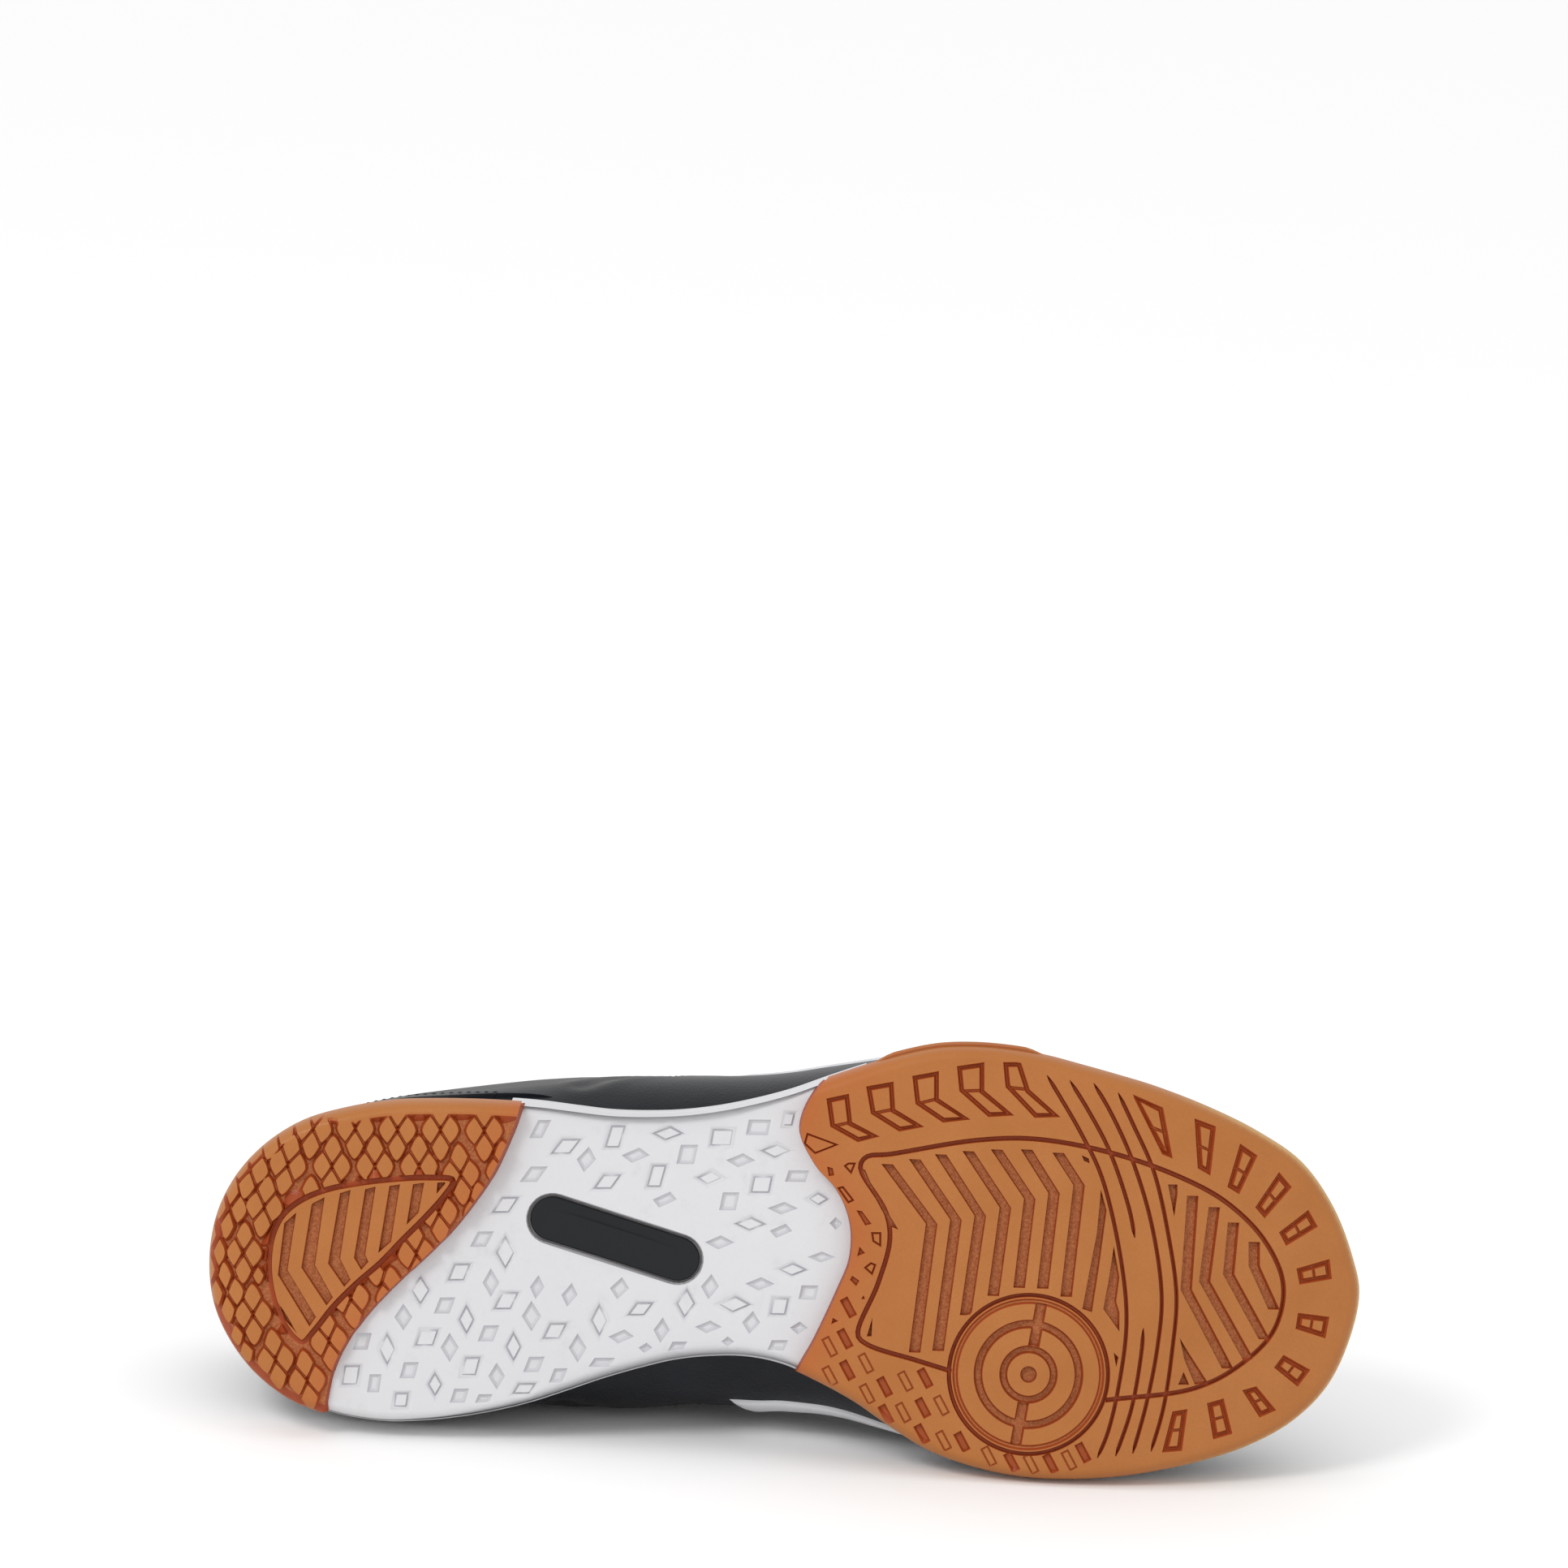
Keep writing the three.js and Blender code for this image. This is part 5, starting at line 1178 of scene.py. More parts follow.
class Finish:
    """A Principled material and short ways to join nodes to it."""

    def __init__(self, name, colour, roughness, specular=0.5):
        self.material = bpy.data.materials.new(name)
        self.material.use_nodes = True
        self.tree = self.material.node_tree
        self.shader = self.tree.nodes["Principled BSDF"]
        self.shader.inputs["Base Color"].default_value = colour
        self.shader.inputs["Roughness"].default_value = roughness
        self.shader.inputs["Specular IOR Level"].default_value = specular
        self.place = self.add("ShaderNodeTexCoord").outputs["Object"]
        self.normal = None

    def add(self, kind, **settings):
        node = self.tree.nodes.new(kind)
        for key, value in settings.items():
            setattr(node, key, value)
        return node

    def join(self, source, target):
        if isinstance(source, (int, float, tuple)):
            target.default_value = source
        else:
            self.tree.links.new(source, target)

    def value(self, name):
        return self.add("ShaderNodeAttribute", attribute_name=name).outputs["Fac"]

    def times(self, a, b, clamp=False):
        node = self.add("ShaderNodeMath", operation="MULTIPLY", use_clamp=clamp)
        self.join(a, node.inputs[0])
        self.join(b, node.inputs[1])
        return node.outputs[0]

    def mix(self, factor, a, b):
        node = self.add("ShaderNodeMix", data_type="RGBA")
        self.join(factor, node.inputs["Factor"])
        self.join(a, node.inputs["A"])
        self.join(b, node.inputs["B"])
        return node.outputs["Result"]

    def span(self, source, low, high, to_low=0.0, to_high=1.0):
        node = self.add("ShaderNodeMapRange")
        self.join(source, node.inputs["Value"])
        for key, v in (("From Min", low), ("From Max", high), ("To Min", to_low), ("To Max", to_high)):
            node.inputs[key].default_value = v
        return node.outputs[0]

    def noise(self, scale, detail=3.0, rough=0.55):
        node = self.add("ShaderNodeTexNoise")
        self.join(self.place, node.inputs["Vector"])
        node.inputs["Scale"].default_value = scale
        node.inputs["Detail"].default_value = detail
        node.inputs["Roughness"].default_value = rough
        return node.outputs["Fac"]

    def cells(self, scale):
        node = self.add("ShaderNodeTexVoronoi", feature="F1")
        self.join(self.place, node.inputs["Vector"])
        node.inputs["Scale"].default_value = scale
        return node.outputs["Distance"]

    def bump(self, height, size, strength=1.0):
        node = self.add("ShaderNodeBump")
        node.inputs["Distance"].default_value = size
        self.join(strength, node.inputs["Strength"])
        self.join(height, node.inputs["Height"])
        if self.normal is not None:
            self.join(self.normal, node.inputs["Normal"])
        self.normal = node.outputs["Normal"]
        self.join(self.normal, self.shader.inputs["Normal"])

    def colour(self, source):
        self.join(source, self.shader.inputs["Base Color"])


def gum_finish():
    """Gum: warm and clear at rim and waist line, darker in the hollows, where painted shade darkens the
    walls, the narrow grooves' floors and the edge wall at the waist.
    """
    f = Finish("gum", linear(165, 103, 50), 0.5, 0.22)
    blotch = f.span(f.noise(55, 4), 0.3, 0.7)
    grain = f.span(f.noise(1500, 2), 0.35, 0.65)
    top = f.mix(blotch, linear(164, 101, 48), linear(171, 108, 55))
    top = f.mix(f.times(grain, 0.25), top, linear(158, 92, 44))
    top = f.mix(f.times(f.value("side"), 0.6, True), top, linear(166, 106, 50))
    top = f.mix(f.times(f.value("rim"), 0.9, True), top, linear(192, 150, 84))
    top = f.mix(f.times(f.value("glow"), 0.42, True), top, linear(176, 80, 34))
    floor = f.mix(grain, linear(154, 82, 42), linear(176, 106, 62))
    # Painted shade: floors with tone 0 (narrow grooves, heel slopes, the wing between its ribs) turn dark
    # red-brown; tone 1 keeps the wide floors' own textured colour.
    floor = f.mix(f.value("tone"), linear(154, 64, 24), floor)
    colour = f.mix(f.value("sunk"), top, floor)
    # Painted shade: the walls of the grooves and the gum's edge wall at the waist darken to deep red-brown.
    colour = f.mix(f.times(f.value("wall"), 0.85, True), colour, linear(148, 58, 22))
    f.colour(colour)
    pits = f.times(f.times(f.value("sunk"), f.value("tone")), f.noise(1900, 3))
    f.bump(pits, 0.0005, 0.9)
    f.bump(f.noise(900, 4), 0.00006, 0.5)
    f.shader.inputs["Coat Weight"].default_value = 0.05
    return f.material


def foam_finish():
    """White foam with faint dirt, painted shade that greys its steps, and painted shade with grime in the
    inlay's recess.
    """
    f = Finish("foam", linear(203, 203, 206), 0.55, 0.25)
    dirt = f.span(f.noise(160, 5, 0.7), 0.56, 0.72)
    colour = f.mix(f.times(dirt, 0.2), linear(204, 204, 206), linear(172, 172, 176))
    # Painted shade: steps, lozenge lines and edge walls are greyed.
    colour = f.mix(f.span(f.value("wall"), 0.3, 1.0, 0.0, 0.45), colour, linear(150, 151, 160))
    # Painted shade with grime: the inlay's recess is greyed.
    colour = f.mix(f.times(f.value("tone"), 0.9, True), colour, linear(140, 136, 135))
    f.colour(colour)
    f.bump(f.noise(420, 5, 0.6), 0.00025, 0.5)
    return f.material


def leather_finish(name="leather", colour=(25, 27, 31), rough=0.42, grain=0.5):
    """Black leather with a fine grain."""
    f = Finish(name, linear(*colour), rough, 0.2)
    f.colour(f.mix(f.span(f.noise(60, 4), 0.3, 0.7), linear(*[c * 0.85 for c in colour]),
                   linear(*[c * 1.15 for c in colour])))
    f.bump(f.cells(1500), 0.00012, grain)
    f.bump(f.noise(240, 4), 0.0002, 0.3)
    return f.material


def plain_finish(name, colour, rough):
    """One colour with a little unevenness."""
    f = Finish(name, linear(*colour), rough, 0.2)
    f.bump(f.noise(900, 3), 0.0001, 0.6)
    return f.material


def cloth_finish(name, colour, scale=1400):
    """Woven cloth."""
    f = Finish(name, linear(*colour), 0.92, 0.2)
    f.bump(f.cells(scale), 0.00035, 0.8)
    f.shader.inputs["Sheen Weight"].default_value = 0.25
    return f.material


GUM = gum_finish()
FOAM = foam_finish()
LEATHER = leather_finish()
PANEL = leather_finish("panel_leather", (27, 29, 33), 0.4, 0.4)
INLAY_RUBBER = plain_finish("inlay_rubber", (27, 29, 32), 0.55)
THREAD = plain_finish("thread", (30, 31, 34), 0.7)
TONGUE_CLOTH = cloth_finish("tongue_cloth", (28, 29, 33))
LINING = cloth_finish("lining", (34, 35, 39))
LACE_CLOTH = cloth_finish("lace_cloth", (26, 27, 30), 2200)
BAND = plain_finish("band", (205, 206, 209), 0.4)

# Gum soles
*fore_mesh, fore_values = plate(
    feature_loops(FORE_HOLLOWS), fore_depth, [FORE_ZONE], spring_at, gum_top_at, 2.2, 0.5, 1.0)
piece("outsole_forefoot_tread", *fore_mesh, GUM, "gum", ["outsole_forefoot"], SOLE_SHARP, fore_values)
heel_loops, heel_depth = heel_tread()
*heel_mesh, heel_values = plate(
    heel_loops, heel_depth, [HEEL_ZONE], spring_at, gum_top_at, 2.0, 1.0, 1.0)
piece("outsole_heel_tread", *heel_mesh, GUM, "gum", ["outsole_heel"], SOLE_SHARP, heel_values)


# Foam
FOAM_LAP = 2.5
BED_CLEARANCE = 0.6
WAIST_REACH = 6
CRISP_START = 0.1
SOFT_BLEND = (-0.1, 0.8)


def foam_zone():
    """The waist between the two gum edges, a little past them on both sides."""
    fore = edge_line(FORE_EDGE) + (FOAM_LAP, 0)
    heel = edge_line(HEEL_EDGE) - (FOAM_LAP, 0)
    return np.vstack([heel, fore[::-1]])


WAIST_ZONE = foam_zone()


def foam_tread():
    """Outlines for the waist's mesh and its reading of depth and tone."""
    bed = capsule(BED_MARGIN)
    floor = capsule(BED_FLOOR_MARGIN)
    kept = []
    for shape, crisp in waist_lozenges():
        p = np.vstack([shape, shape.mean(0)[None]])
        if inside(p, WAIST_ZONE).all() and inside(p, plan_inset(LAND_MARGIN)).all():
            if distance(p, bed).min() > BED_CLEARANCE and not inside(p, bed).any():
                kept.append((finer(shape, 2.0), crisp))

    def depth_at(points, q):
        depth = np.zeros(len(points))
        tone = np.zeros(len(points))
        for shape, crisp in kept:
            near = np.flatnonzero(np.abs(points - shape.mean(0)).max(axis=1) < WAIST_REACH)
            if not len(near):
                continue
            away = distance(points[near], shape)
            within = inside(points[near], shape)
            if crisp:
                dish = CRISP_DISH * (1 - smooth(away, CRISP_START, CRISP_DISH_REACH))
                line = (CRISP_LINE - CRISP_DISH) * np.clip(1 - away / CRISP_LINE_REACH, 0, 1)
                value = np.where(within, CRISP_FLOOR, dish) + line
            else:
                value = np.where(within, SOFT_DISH * smooth(away, *SOFT_BLEND), 0)
            depth[near] = np.maximum(depth[near], value)
        in_bed = inside(points, bed)
        rim = distance(points, bed)
        depth = np.where(in_bed, BED_DEPTH * np.clip(rim / BED_RUN, 0, 1), depth)
        # Marks the recess round the inlay, which the foam greys as painted shade with grime.
        tone = np.where(in_bed & (rim > 0.05), 1.0, tone)
        return depth, tone

    loops = [bed, floor]
    for shape, crisp in kept:
        if crisp:
            loops += [shape] + [shrink(shape, q) for q in CRISP_LOOPS]
        else:
            loops += [shape] + [shrink(shape, q) for q in SOFT_LOOPS]
    return loops, depth_at


foam_loops, foam_depth = foam_tread()
*foam_mesh, foam_values = plate(
    foam_loops, foam_depth, [WAIST_ZONE], waist_at, sole_top_at, 1.8, 0.2, 0.5)
piece("midsole_waist", *foam_mesh, FOAM, "foam", ["midsole"], SOLE_SHARP, foam_values)


FOAM_ROWS = 6
FOAM_UNDER_GUM = 3
FOAM_TOP_REACH = 9
FOAM_INSET = (0.55, 0.5, 0.9)  # level part, more at the foot, more at the top
FOAM_TOP_START = 0.8


def foam_side():
    """Side of the foam above the gum, and its top."""
    x = RIB_EDGE[:, 0]
    low = gum_top_at(x) - FOAM_UNDER_GUM
    high = sole_top_at(x)
    level, foot, top = FOAM_INSET
    columns = []
    for k in range(FOAM_ROWS):
        share = k / (FOAM_ROWS - 1)
        crown = max(0, share - FOAM_TOP_START) / 0.2
        inset = level + foot * (1 - min(1, 3 * share)) + top * crown
        z = low + (high - low) * share
        columns.append(np.column_stack([RIB_EDGE - RIB_SIDE * inset, z]))
    inner = np.column_stack([RIB_EDGE - RIB_SIDE * FOAM_TOP_REACH, high])
    grid = np.stack(columns + [inner], axis=1)
    return grid.reshape(-1, 3), grid_faces(RIBS, FOAM_ROWS + 1, True)


side_points, side_faces = foam_side()
side_values = {key: np.zeros(len(side_faces)) for key in ("wall", "tone")}
piece("midsole_side", side_points, side_faces, FOAM, "foam", (), SOLE_SHARP, side_values)


INLAY_RINGS = [(0.0, 1.6), (0.0, 0.25), (0.3, 0.0), (3.0, 0.0)]  # inset, rise
INLAY_SUNK = 0.7


def inlay():
    """Pad with a softened edge, a little below the waist's land."""
    outline = respace(capsule(0), 0.8, closed=True)
    points, faces = [], []
    count = len(outline)
    for inset, rise in INLAY_RINGS:
        loop = shrink(outline, inset)
        for p in loop:
            points.append([p[0], p[1], float(waist_at(p[0])) + INLAY_SUNK + rise])
    for r in range(len(INLAY_RINGS) - 1):
        for k in range(count):
            a, b = r * count + k, r * count + (k + 1) % count
            faces.append((a, a + count, b + count, b))
    last = (len(INLAY_RINGS) - 1) * count
    faces.append(tuple(range(last, last + count))[::-1])
    return np.array(points), faces


piece("shank_inlay_pad", *inlay(), INLAY_RUBBER, "inlay_rubber", ["shank_inlay"], SOLE_SHARP)


# Upper: creases are soft troughs, given on each side as along and height points
UPPER_ROWS = 46
CREASES = [  # side, depth, width, points along and up
    [-1, 0.9, 3.2, 214, 26, 209, 38, 206, 48],
    [-1, 0.7, 2.8, 199, 34, 197, 46, 196, 55],
    [1, 0.9, 3.2, 213, 24, 209, 36, 206, 47],
    [1, 0.6, 2.6, 222, 24, 219, 34, 216, 42],
    [-1, 0.6, 3.0, 92, 30, 100, 38, 112, 44],
    [1, 0.7, 3.0, 90, 28, 99, 36, 111, 41],
    [1, 0.5, 2.4, 104, 62, 112, 54, 122, 49],
    [-1, 0.5, 2.6, 104, 64, 113, 56, 123, 51],
    [-1, 0.4, 2.2, 34, 50, 42, 44, 52, 42],
    [1, 0.4, 2.2, 36, 49, 43, 44, 53, 43],
]


SWELLING = 0.35
SWELLING_AT = 1.7
PAD_RISE = (0.62, 0.87)  # shares up to the collar
PAD_FALL = (0.92, 1.08)
PAD_END = (0.72, 0.94)
PAD_OUT = 0.9


def crease_depth(points, medial):
    """Trough depth on the upper at points of the shoe frame, with a low swelling beside each trough."""
    depth = np.zeros(len(points))
    flat = points[:, [0, 2]]
    for side, size, width, *row in CREASES:
        near = np.flatnonzero(medial == (side > 0))
        line = spline(np.asarray(row, float).reshape(-1, 2), per=6)
        away = distance(flat[near], line, closed=False) / width
        beside = np.exp(-((away - SWELLING_AT) ** 2))
        depth[near] += size * (np.exp(-away**2) - SWELLING * beside)
    return depth


def upper_grids():
    """Outer and inner face of the upper, with its creases and padded collar."""
    ribs = np.repeat(np.arange(RIBS)[:, None], UPPER_ROWS, axis=1)
    share = np.linspace(0, 1, UPPER_ROWS)[None, :]
    s = RIB_END[:, None] * share
    outer = rib_points(ribs, s)
    medial = np.repeat(ON_MEDIAL, UPPER_ROWS)
    dent = crease_depth(outer.reshape(-1, 3), medial).reshape(s.shape) * (share > 0.02)
    near_top = smooth(share, *PAD_RISE) * (1 - smooth(share, *PAD_FALL))
    near_heel = 1 - smooth(RIB["x"] / THROAT_TOP, *PAD_END)
    pad = near_top * near_heel[:, None]
    outer = offset_points(ribs, s, PAD_OUT * pad * (share < 0.99) - dent)
    inner = offset_points(ribs, s, -UPPER_WALL - COLLAR_PAD * pad)
    return outer, inner


def rim(outer, inner):
    """Rounded top edge that joins the outer and the inner grid."""
    up = outer[:, -1] - outer[:, -4]
    up /= np.maximum(np.linalg.norm(up, axis=1), 1e-6)[:, None]
    lines = []
    for t in np.linspace(0, 1, 7):
        bow = math.sin(math.pi * t) * UPPER_WALL / 2
        lines.append(outer[:, -1] * (1 - t) + inner[:, -1] * t + up * bow)
    return np.stack(lines, axis=1)


def open_ribs():
    """Ribs beside the collar or the throat."""
    return [k for k in range(RIBS) if not (RIB_END[k] == 1 and RIB_END[(k + 1) % RIBS] == 1)]


def upper_pieces():
    """Body with its rim and foot, and the lining."""
    outer, inner = upper_grids()
    points = outer.reshape(-1, 3)
    faces = grid_faces(RIBS, UPPER_ROWS, True)
    edge = rim(outer, inner)
    rows = edge.shape[1]
    start = len(points)
    all_rim = grid_faces(RIBS, rows, True, start)
    keep = set(open_ribs())
    faces += [f for k, f in enumerate(all_rim) if k // (rows - 1) in keep]
    foot = np.stack([outer[:, 0], inner[:, 0] * (1, 1, 0) + outer[:, 0] * (0, 0, 1)], axis=1)
    start += edge.size // 3
    faces += grid_faces(RIBS, 2, True, start, True)
    body = np.vstack([points, edge.reshape(-1, 3), foot.reshape(-1, 3)])
    lining = inner.reshape(-1, 3)
    return body, faces, lining, grid_faces(RIBS, UPPER_ROWS, True, 0, True)


def weld(points, faces):
    """The mesh with points that coincide made one, and faces without width left out."""
    _, first, back = np.unique(np.round(points, 3), axis=0, return_index=True, return_inverse=True)
    back = np.asarray(back).reshape(-1)
    made = []
    for f in faces:
        g = [int(back[v]) for v in f]
        g = [v for k, v in enumerate(g) if v != g[k - 1]]
        if len(set(g)) > 2:
            made.append(tuple(g))
    return points[first], made


body, body_faces, lining, lining_faces = upper_pieces()
piece("upper_body", *weld(body, body_faces), LEATHER, "upper_leather", ["upper"])
piece("upper_lining", *weld(lining, lining_faces), LINING, "lining", ["upper"])


# Pieces that lie on the upper
PANEL_LIFT = 0.12
PANEL_THICK = 1.0
PANEL_TOP = PANEL_LIFT + PANEL_THICK
PANEL_TUCK = 0.3
PANEL_ROWS = 14
COUNTER = {"front": 84, "height": 0.55, "low": 0.1}
EYESTAY_WIDTH = 17
TIP_START = 158
EYELET_PAIRS = 6
EYELET_MARGIN = 6
RING_PROFILE = [(3.1, -0.1), (3.0, 0.2), (2.65, 0.4), (2.3, 0.3), (2.1, 0.0), (2.1, -0.3)]  # radius, height
WELL_PROFILE = [(2.2, 0.04), (0.01, 0.03)]


def blend(place, s, lift):
    """Points on the upper at rib numbers with a fraction, at shares of the ribs, lifted off it."""
    place = np.asarray(place, float) % RIBS
    s = np.broadcast_to(np.asarray(s, float), place.shape)
    lift = np.broadcast_to(np.asarray(lift, float), place.shape)
    low = np.floor(place).astype(int)
    a, b = offset_points(low, s, lift), offset_points((low + 1) % RIBS, s, lift)
    return a + (b - a) * (place - low)[..., None]


def rib_at(x, side):
    """Rib number, with a fraction, at x on the medial side (1) or the lateral (-1)."""
    place = np.interp(x, RIB_EDGE[:TOE_RIB + 1, 0], np.arange(TOE_RIB + 1))
    return np.where(np.asarray(side) > 0, RIBS - place, place)


def share_at_half(x, side, half):
    """Share of the rib at x where the upper is so far from its ridge."""
    x, side, half = np.broadcast_arrays(np.atleast_1d(np.asarray(x, float)), side, half)
    place = rib_at(x, side)
    middle = RIDGE_SHIFT * x / LENGTH
    share = greatest(x.shape, lambda s: np.abs(blend(place, s, 0)[..., 1] - middle) > half, HALF_STEPS)
    return np.where(half < 0.01, 1.0, share)


ROLL = ((0.0, 0.0), (0.012, 0.45), (0.03, 0.8), (0.06, 1.0))


def rolled(count):
    """Even steps from 0 to 1 with finer ones at both ends, and the share of the thickness at each."""
    ends = [t for t, _ in ROLL]
    high = [h for _, h in ROLL]
    middle = np.linspace(ends[-1], 1 - ends[-1], count)[1:-1]
    steps = np.concatenate([ends, middle, [1 - t for t in ends[::-1]]])
    return steps, np.concatenate([high, np.ones(len(middle)), high[::-1]])


def laid(grid, s, full, open_top=None):
    """Panel that lies on the upper, from rib numbers, shares and its share of the full thickness."""
    lift = PANEL_LIFT + PANEL_THICK * full
    return shell(blend(grid, s, lift), blend(grid, s, -PANEL_TUCK), False, open_top)


def spread(places, low, high, rows):
    """Rib numbers, shares and rolled profile of a panel between low and high shares at places along it."""
    steps, profile = rolled(rows)
    grid = np.repeat(places[:, None], len(steps), axis=1)
    return grid, low[:, None] + (high - low)[:, None] * steps[None, :], steps, profile


def rib_end_at(place):
    """Share at which the upper ends, at rib numbers with a fraction."""
    at = np.arange(RIBS + 1)
    return np.interp(np.asarray(place) % RIBS, at, np.append(RIB_END, RIB_END[0]))


def counter_edge(place):
    """Upper edge of the heel counter, falling towards its front."""
    x = np.interp(np.asarray(place) % RIBS, np.arange(RIBS + 1), np.append(RIB_EDGE[:, 0], RIB_EDGE[0, 0]))
    fade = 1 - 0.75 * smooth(x / COUNTER["front"])
    return rib_end_at(place) * (COUNTER["low"] + COUNTER["height"] * fade)


STITCH_STEP = 2.3
STITCH_HALF = (0.8, 0.3, 0.22)
STITCH_FACES = ((0, 2, 4), (2, 1, 4), (1, 3, 4), (3, 0, 4), (2, 0, 5), (1, 2, 5), (3, 1, 5), (0, 3, 5))


def stitches(line):
    """Small thread stitches along a line of points with normals."""
    points, normals = line
    p = respace(np.hstack([points, normals]), STITCH_STEP)
    spots, away = p[:, :3], p[:, 3:]
    away = away / np.linalg.norm(away, axis=1)[:, None]
    along = np.gradient(spots, axis=0)
    along /= np.linalg.norm(along, axis=1)[:, None]
    side = np.cross(away, along)
    made, faces = [], []
    for spot, *axes in zip(spots, along, side, away):
        start = len(made)
        for axis, half in zip(axes, STITCH_HALF):
            made += [spot + axis * half, spot - axis * half]
        faces += [tuple(start + v for v in f) for f in STITCH_FACES]
    return np.array(made), faces


def seam(places, s):
    """Line on top of a panel with its normals, for stitches and eyelets."""
    points = blend(places, s, PANEL_TOP)
    return points, blend(places, s, PANEL_TOP + 1.0) - points


def merge(parts):
    """One mesh from several."""
    points, faces, start = [], [], 0
    for p, f in parts:
        points.append(p)
        faces += [tuple(start + v for v in face) for face in f]
        start += len(p)
    return np.vstack(points), faces


def counter_pieces():
    """Heel counter panel and the thread along its edges."""
    reach = float(rib_at(COUNTER["front"], -1))
    steps, profile = rolled(110)
    places = -reach + 2 * reach * steps
    low = np.full(len(places), COUNTER["low"])
    grid, s, _, across = spread(places, low, counter_edge(places), PANEL_ROWS)
    panel = laid(grid, s, across[None, :] * profile[:, None])
    line = places[5:-5]
    edge = COUNTER["low"] + (counter_edge(line) - COUNTER["low"]) * 0.93
    upright = np.linspace(COUNTER["low"], float(edge[0]), 12)
    threads = [stitches(seam(line, edge))]
    for place in (line[0], line[-1]):
        threads.append(stitches(seam(np.full(12, place), upright)))
    return panel, merge(threads)


panel, threads = counter_pieces()
piece("heel_counter_panel", *panel, PANEL, "upper_leather", ["heel_counter"])
piece("heel_counter_stitches", *threads, THREAD, "lace")


TIP_POWER = 2.3
THREAD_INSET = 2.4


def eyestay_low(x, side, inset=0.0):
    """Lower edge of the eyestay: level along the throat, and round the tip in front of it."""
    along = np.clip((x - THROAT_TOP) / (THROAT_END - THROAT_TOP), 0, 0.87)
    width = EYESTAY_WIDTH + THROAT_TOP_HALF + (THROAT_END_HALF - THROAT_TOP_HALF) * along
    tip = np.clip((x - TIP_START) / (THROAT_END + EYESTAY_WIDTH - inset - TIP_START), 0, 1)
    return share_at_half(x, side, np.maximum(0.3, (width - inset) * (1 - tip**TIP_POWER) ** (1 / TIP_POWER)))


def eyestay_side(side):
    """Half of the eyestay panel and its thread."""
    straight = np.linspace(THROAT_TOP + 0.3, THROAT_END, 34)
    tip = THROAT_END + EYESTAY_WIDTH * np.sin(np.linspace(0, math.pi / 2, 16)[1:]) * 0.999
    x = np.concatenate([straight, tip])
    places = rib_at(x, side)
    low = eyestay_low(x, side)
    high = np.where(x >= THROAT_END, 1.0, share_at_half(x, side, throat_half_at(x)))
    if side > 0:
        x, places, low, high = x[::-1], places[::-1], low[::-1], high[::-1]
    grid, s, steps, profile = spread(places, low, high, 12)
    closed = (x >= THROAT_END)[:, None] & (steps > 0.5)[None, :]
    full = np.where(closed, 1.0, profile[None, :])
    made = laid(grid, s, full, lambda k: x[k] >= THROAT_END and x[k + 1] >= THROAT_END)
    line = x[x < THROAT_END + EYESTAY_WIDTH - 3]
    threads = stitches(seam(rib_at(line, side), eyestay_low(line, side, THREAD_INSET)))
    return made, threads


lateral_half, lateral_thread = eyestay_side(-1)
medial_half, medial_thread = eyestay_side(1)
piece("eyestay_panel", *weld(*merge([lateral_half, medial_half])), PANEL, "upper_leather", ["eyestay"])
piece("eyestay_stitches", *merge([lateral_thread, medial_thread]), THREAD, "lace")


def eyelet_places():
    """Places of the eyelets along the throat."""
    start, end = THROAT_TOP + EYELET_MARGIN, THROAT_END - EYELET_MARGIN - 2
    return np.linspace(start, end, EYELET_PAIRS)


def turned(centre, away, profile, count=28):
    """Ring round an axis from radius and height pairs."""
    away = away / np.linalg.norm(away)
    first = np.cross(away, (1.0, 0.0, 0.0))
    first /= np.linalg.norm(first)
    second = np.cross(away, first)
    angle = 2 * math.pi * np.arange(count) / count
    round_line = np.cos(angle)[:, None] * first + np.sin(angle)[:, None] * second
    grid = np.stack([centre + round_line * r + away * h for r, h in profile], axis=1)
    return grid.reshape(-1, 3), grid_faces(count, len(profile), True)


def eyelet_pieces():
    """Rolled rings and dark wells at all eyelets."""
    rings, wells = [], []
    for x in eyelet_places():
        for side in (-1, 1):
            half = float(throat_half_at(x)) + EYELET_MARGIN
            place, s = rib_at(x, side), share_at_half(x, side, half)
            points, away = seam(np.atleast_1d(place), s)
            for made, profile in ((rings, RING_PROFILE), (wells, WELL_PROFILE)):
                made.append(turned(points[0], away[0], profile))
    return merge(rings), merge(wells)


rings, wells = eyelet_pieces()
piece("eyelet_rings", *rings, PANEL, "upper_leather")
piece("eyelet_wells", *wells, LINING, "lining")


# Side bands
BANDS = {"start": 131, "end": 186, "slant": 13, "share": 0.16, "dip": 0.05}
BAND_LOW = {1: 0.2, -1: 0.42}


def side_band(side):
    """Slanted band on one side."""
    steps, ends = rolled(36)
    rows, profile = rolled(8)
    x = BANDS["start"] + (BANDS["end"] - BANDS["start"]) * steps
    s = (BAND_LOW[side] - BANDS["dip"] * steps)[:, None] + BANDS["share"] * rows[None, :]
    grid = rib_at(x[:, None] + BANDS["slant"] * rows[None, :], side)
    full = ends[:, None] * profile[None, :]
    if side > 0:
        grid, s, full = grid[::-1], s[::-1], full[::-1]
    return laid(grid, s, full)


piece("side_band_medial_strip", *side_band(1), BAND, "band", ["side_band_medial"])
piece("side_band_lateral_strip", *side_band(-1), BAND, "band", ["side_band_lateral"])

# Tongue
TONGUE = {"thickness": 4.5, "rise": 22, "spread": 9, "end": 12, "clearance": 2.0, "taper": 0.16, "bend": 14}
TONGUE_EDGE = 1.4
TONGUE_CORNER = 9
CHANNEL = {"depth": 0.5, "at": 0.86, "width": 0.012}  # place and width as shares of the length


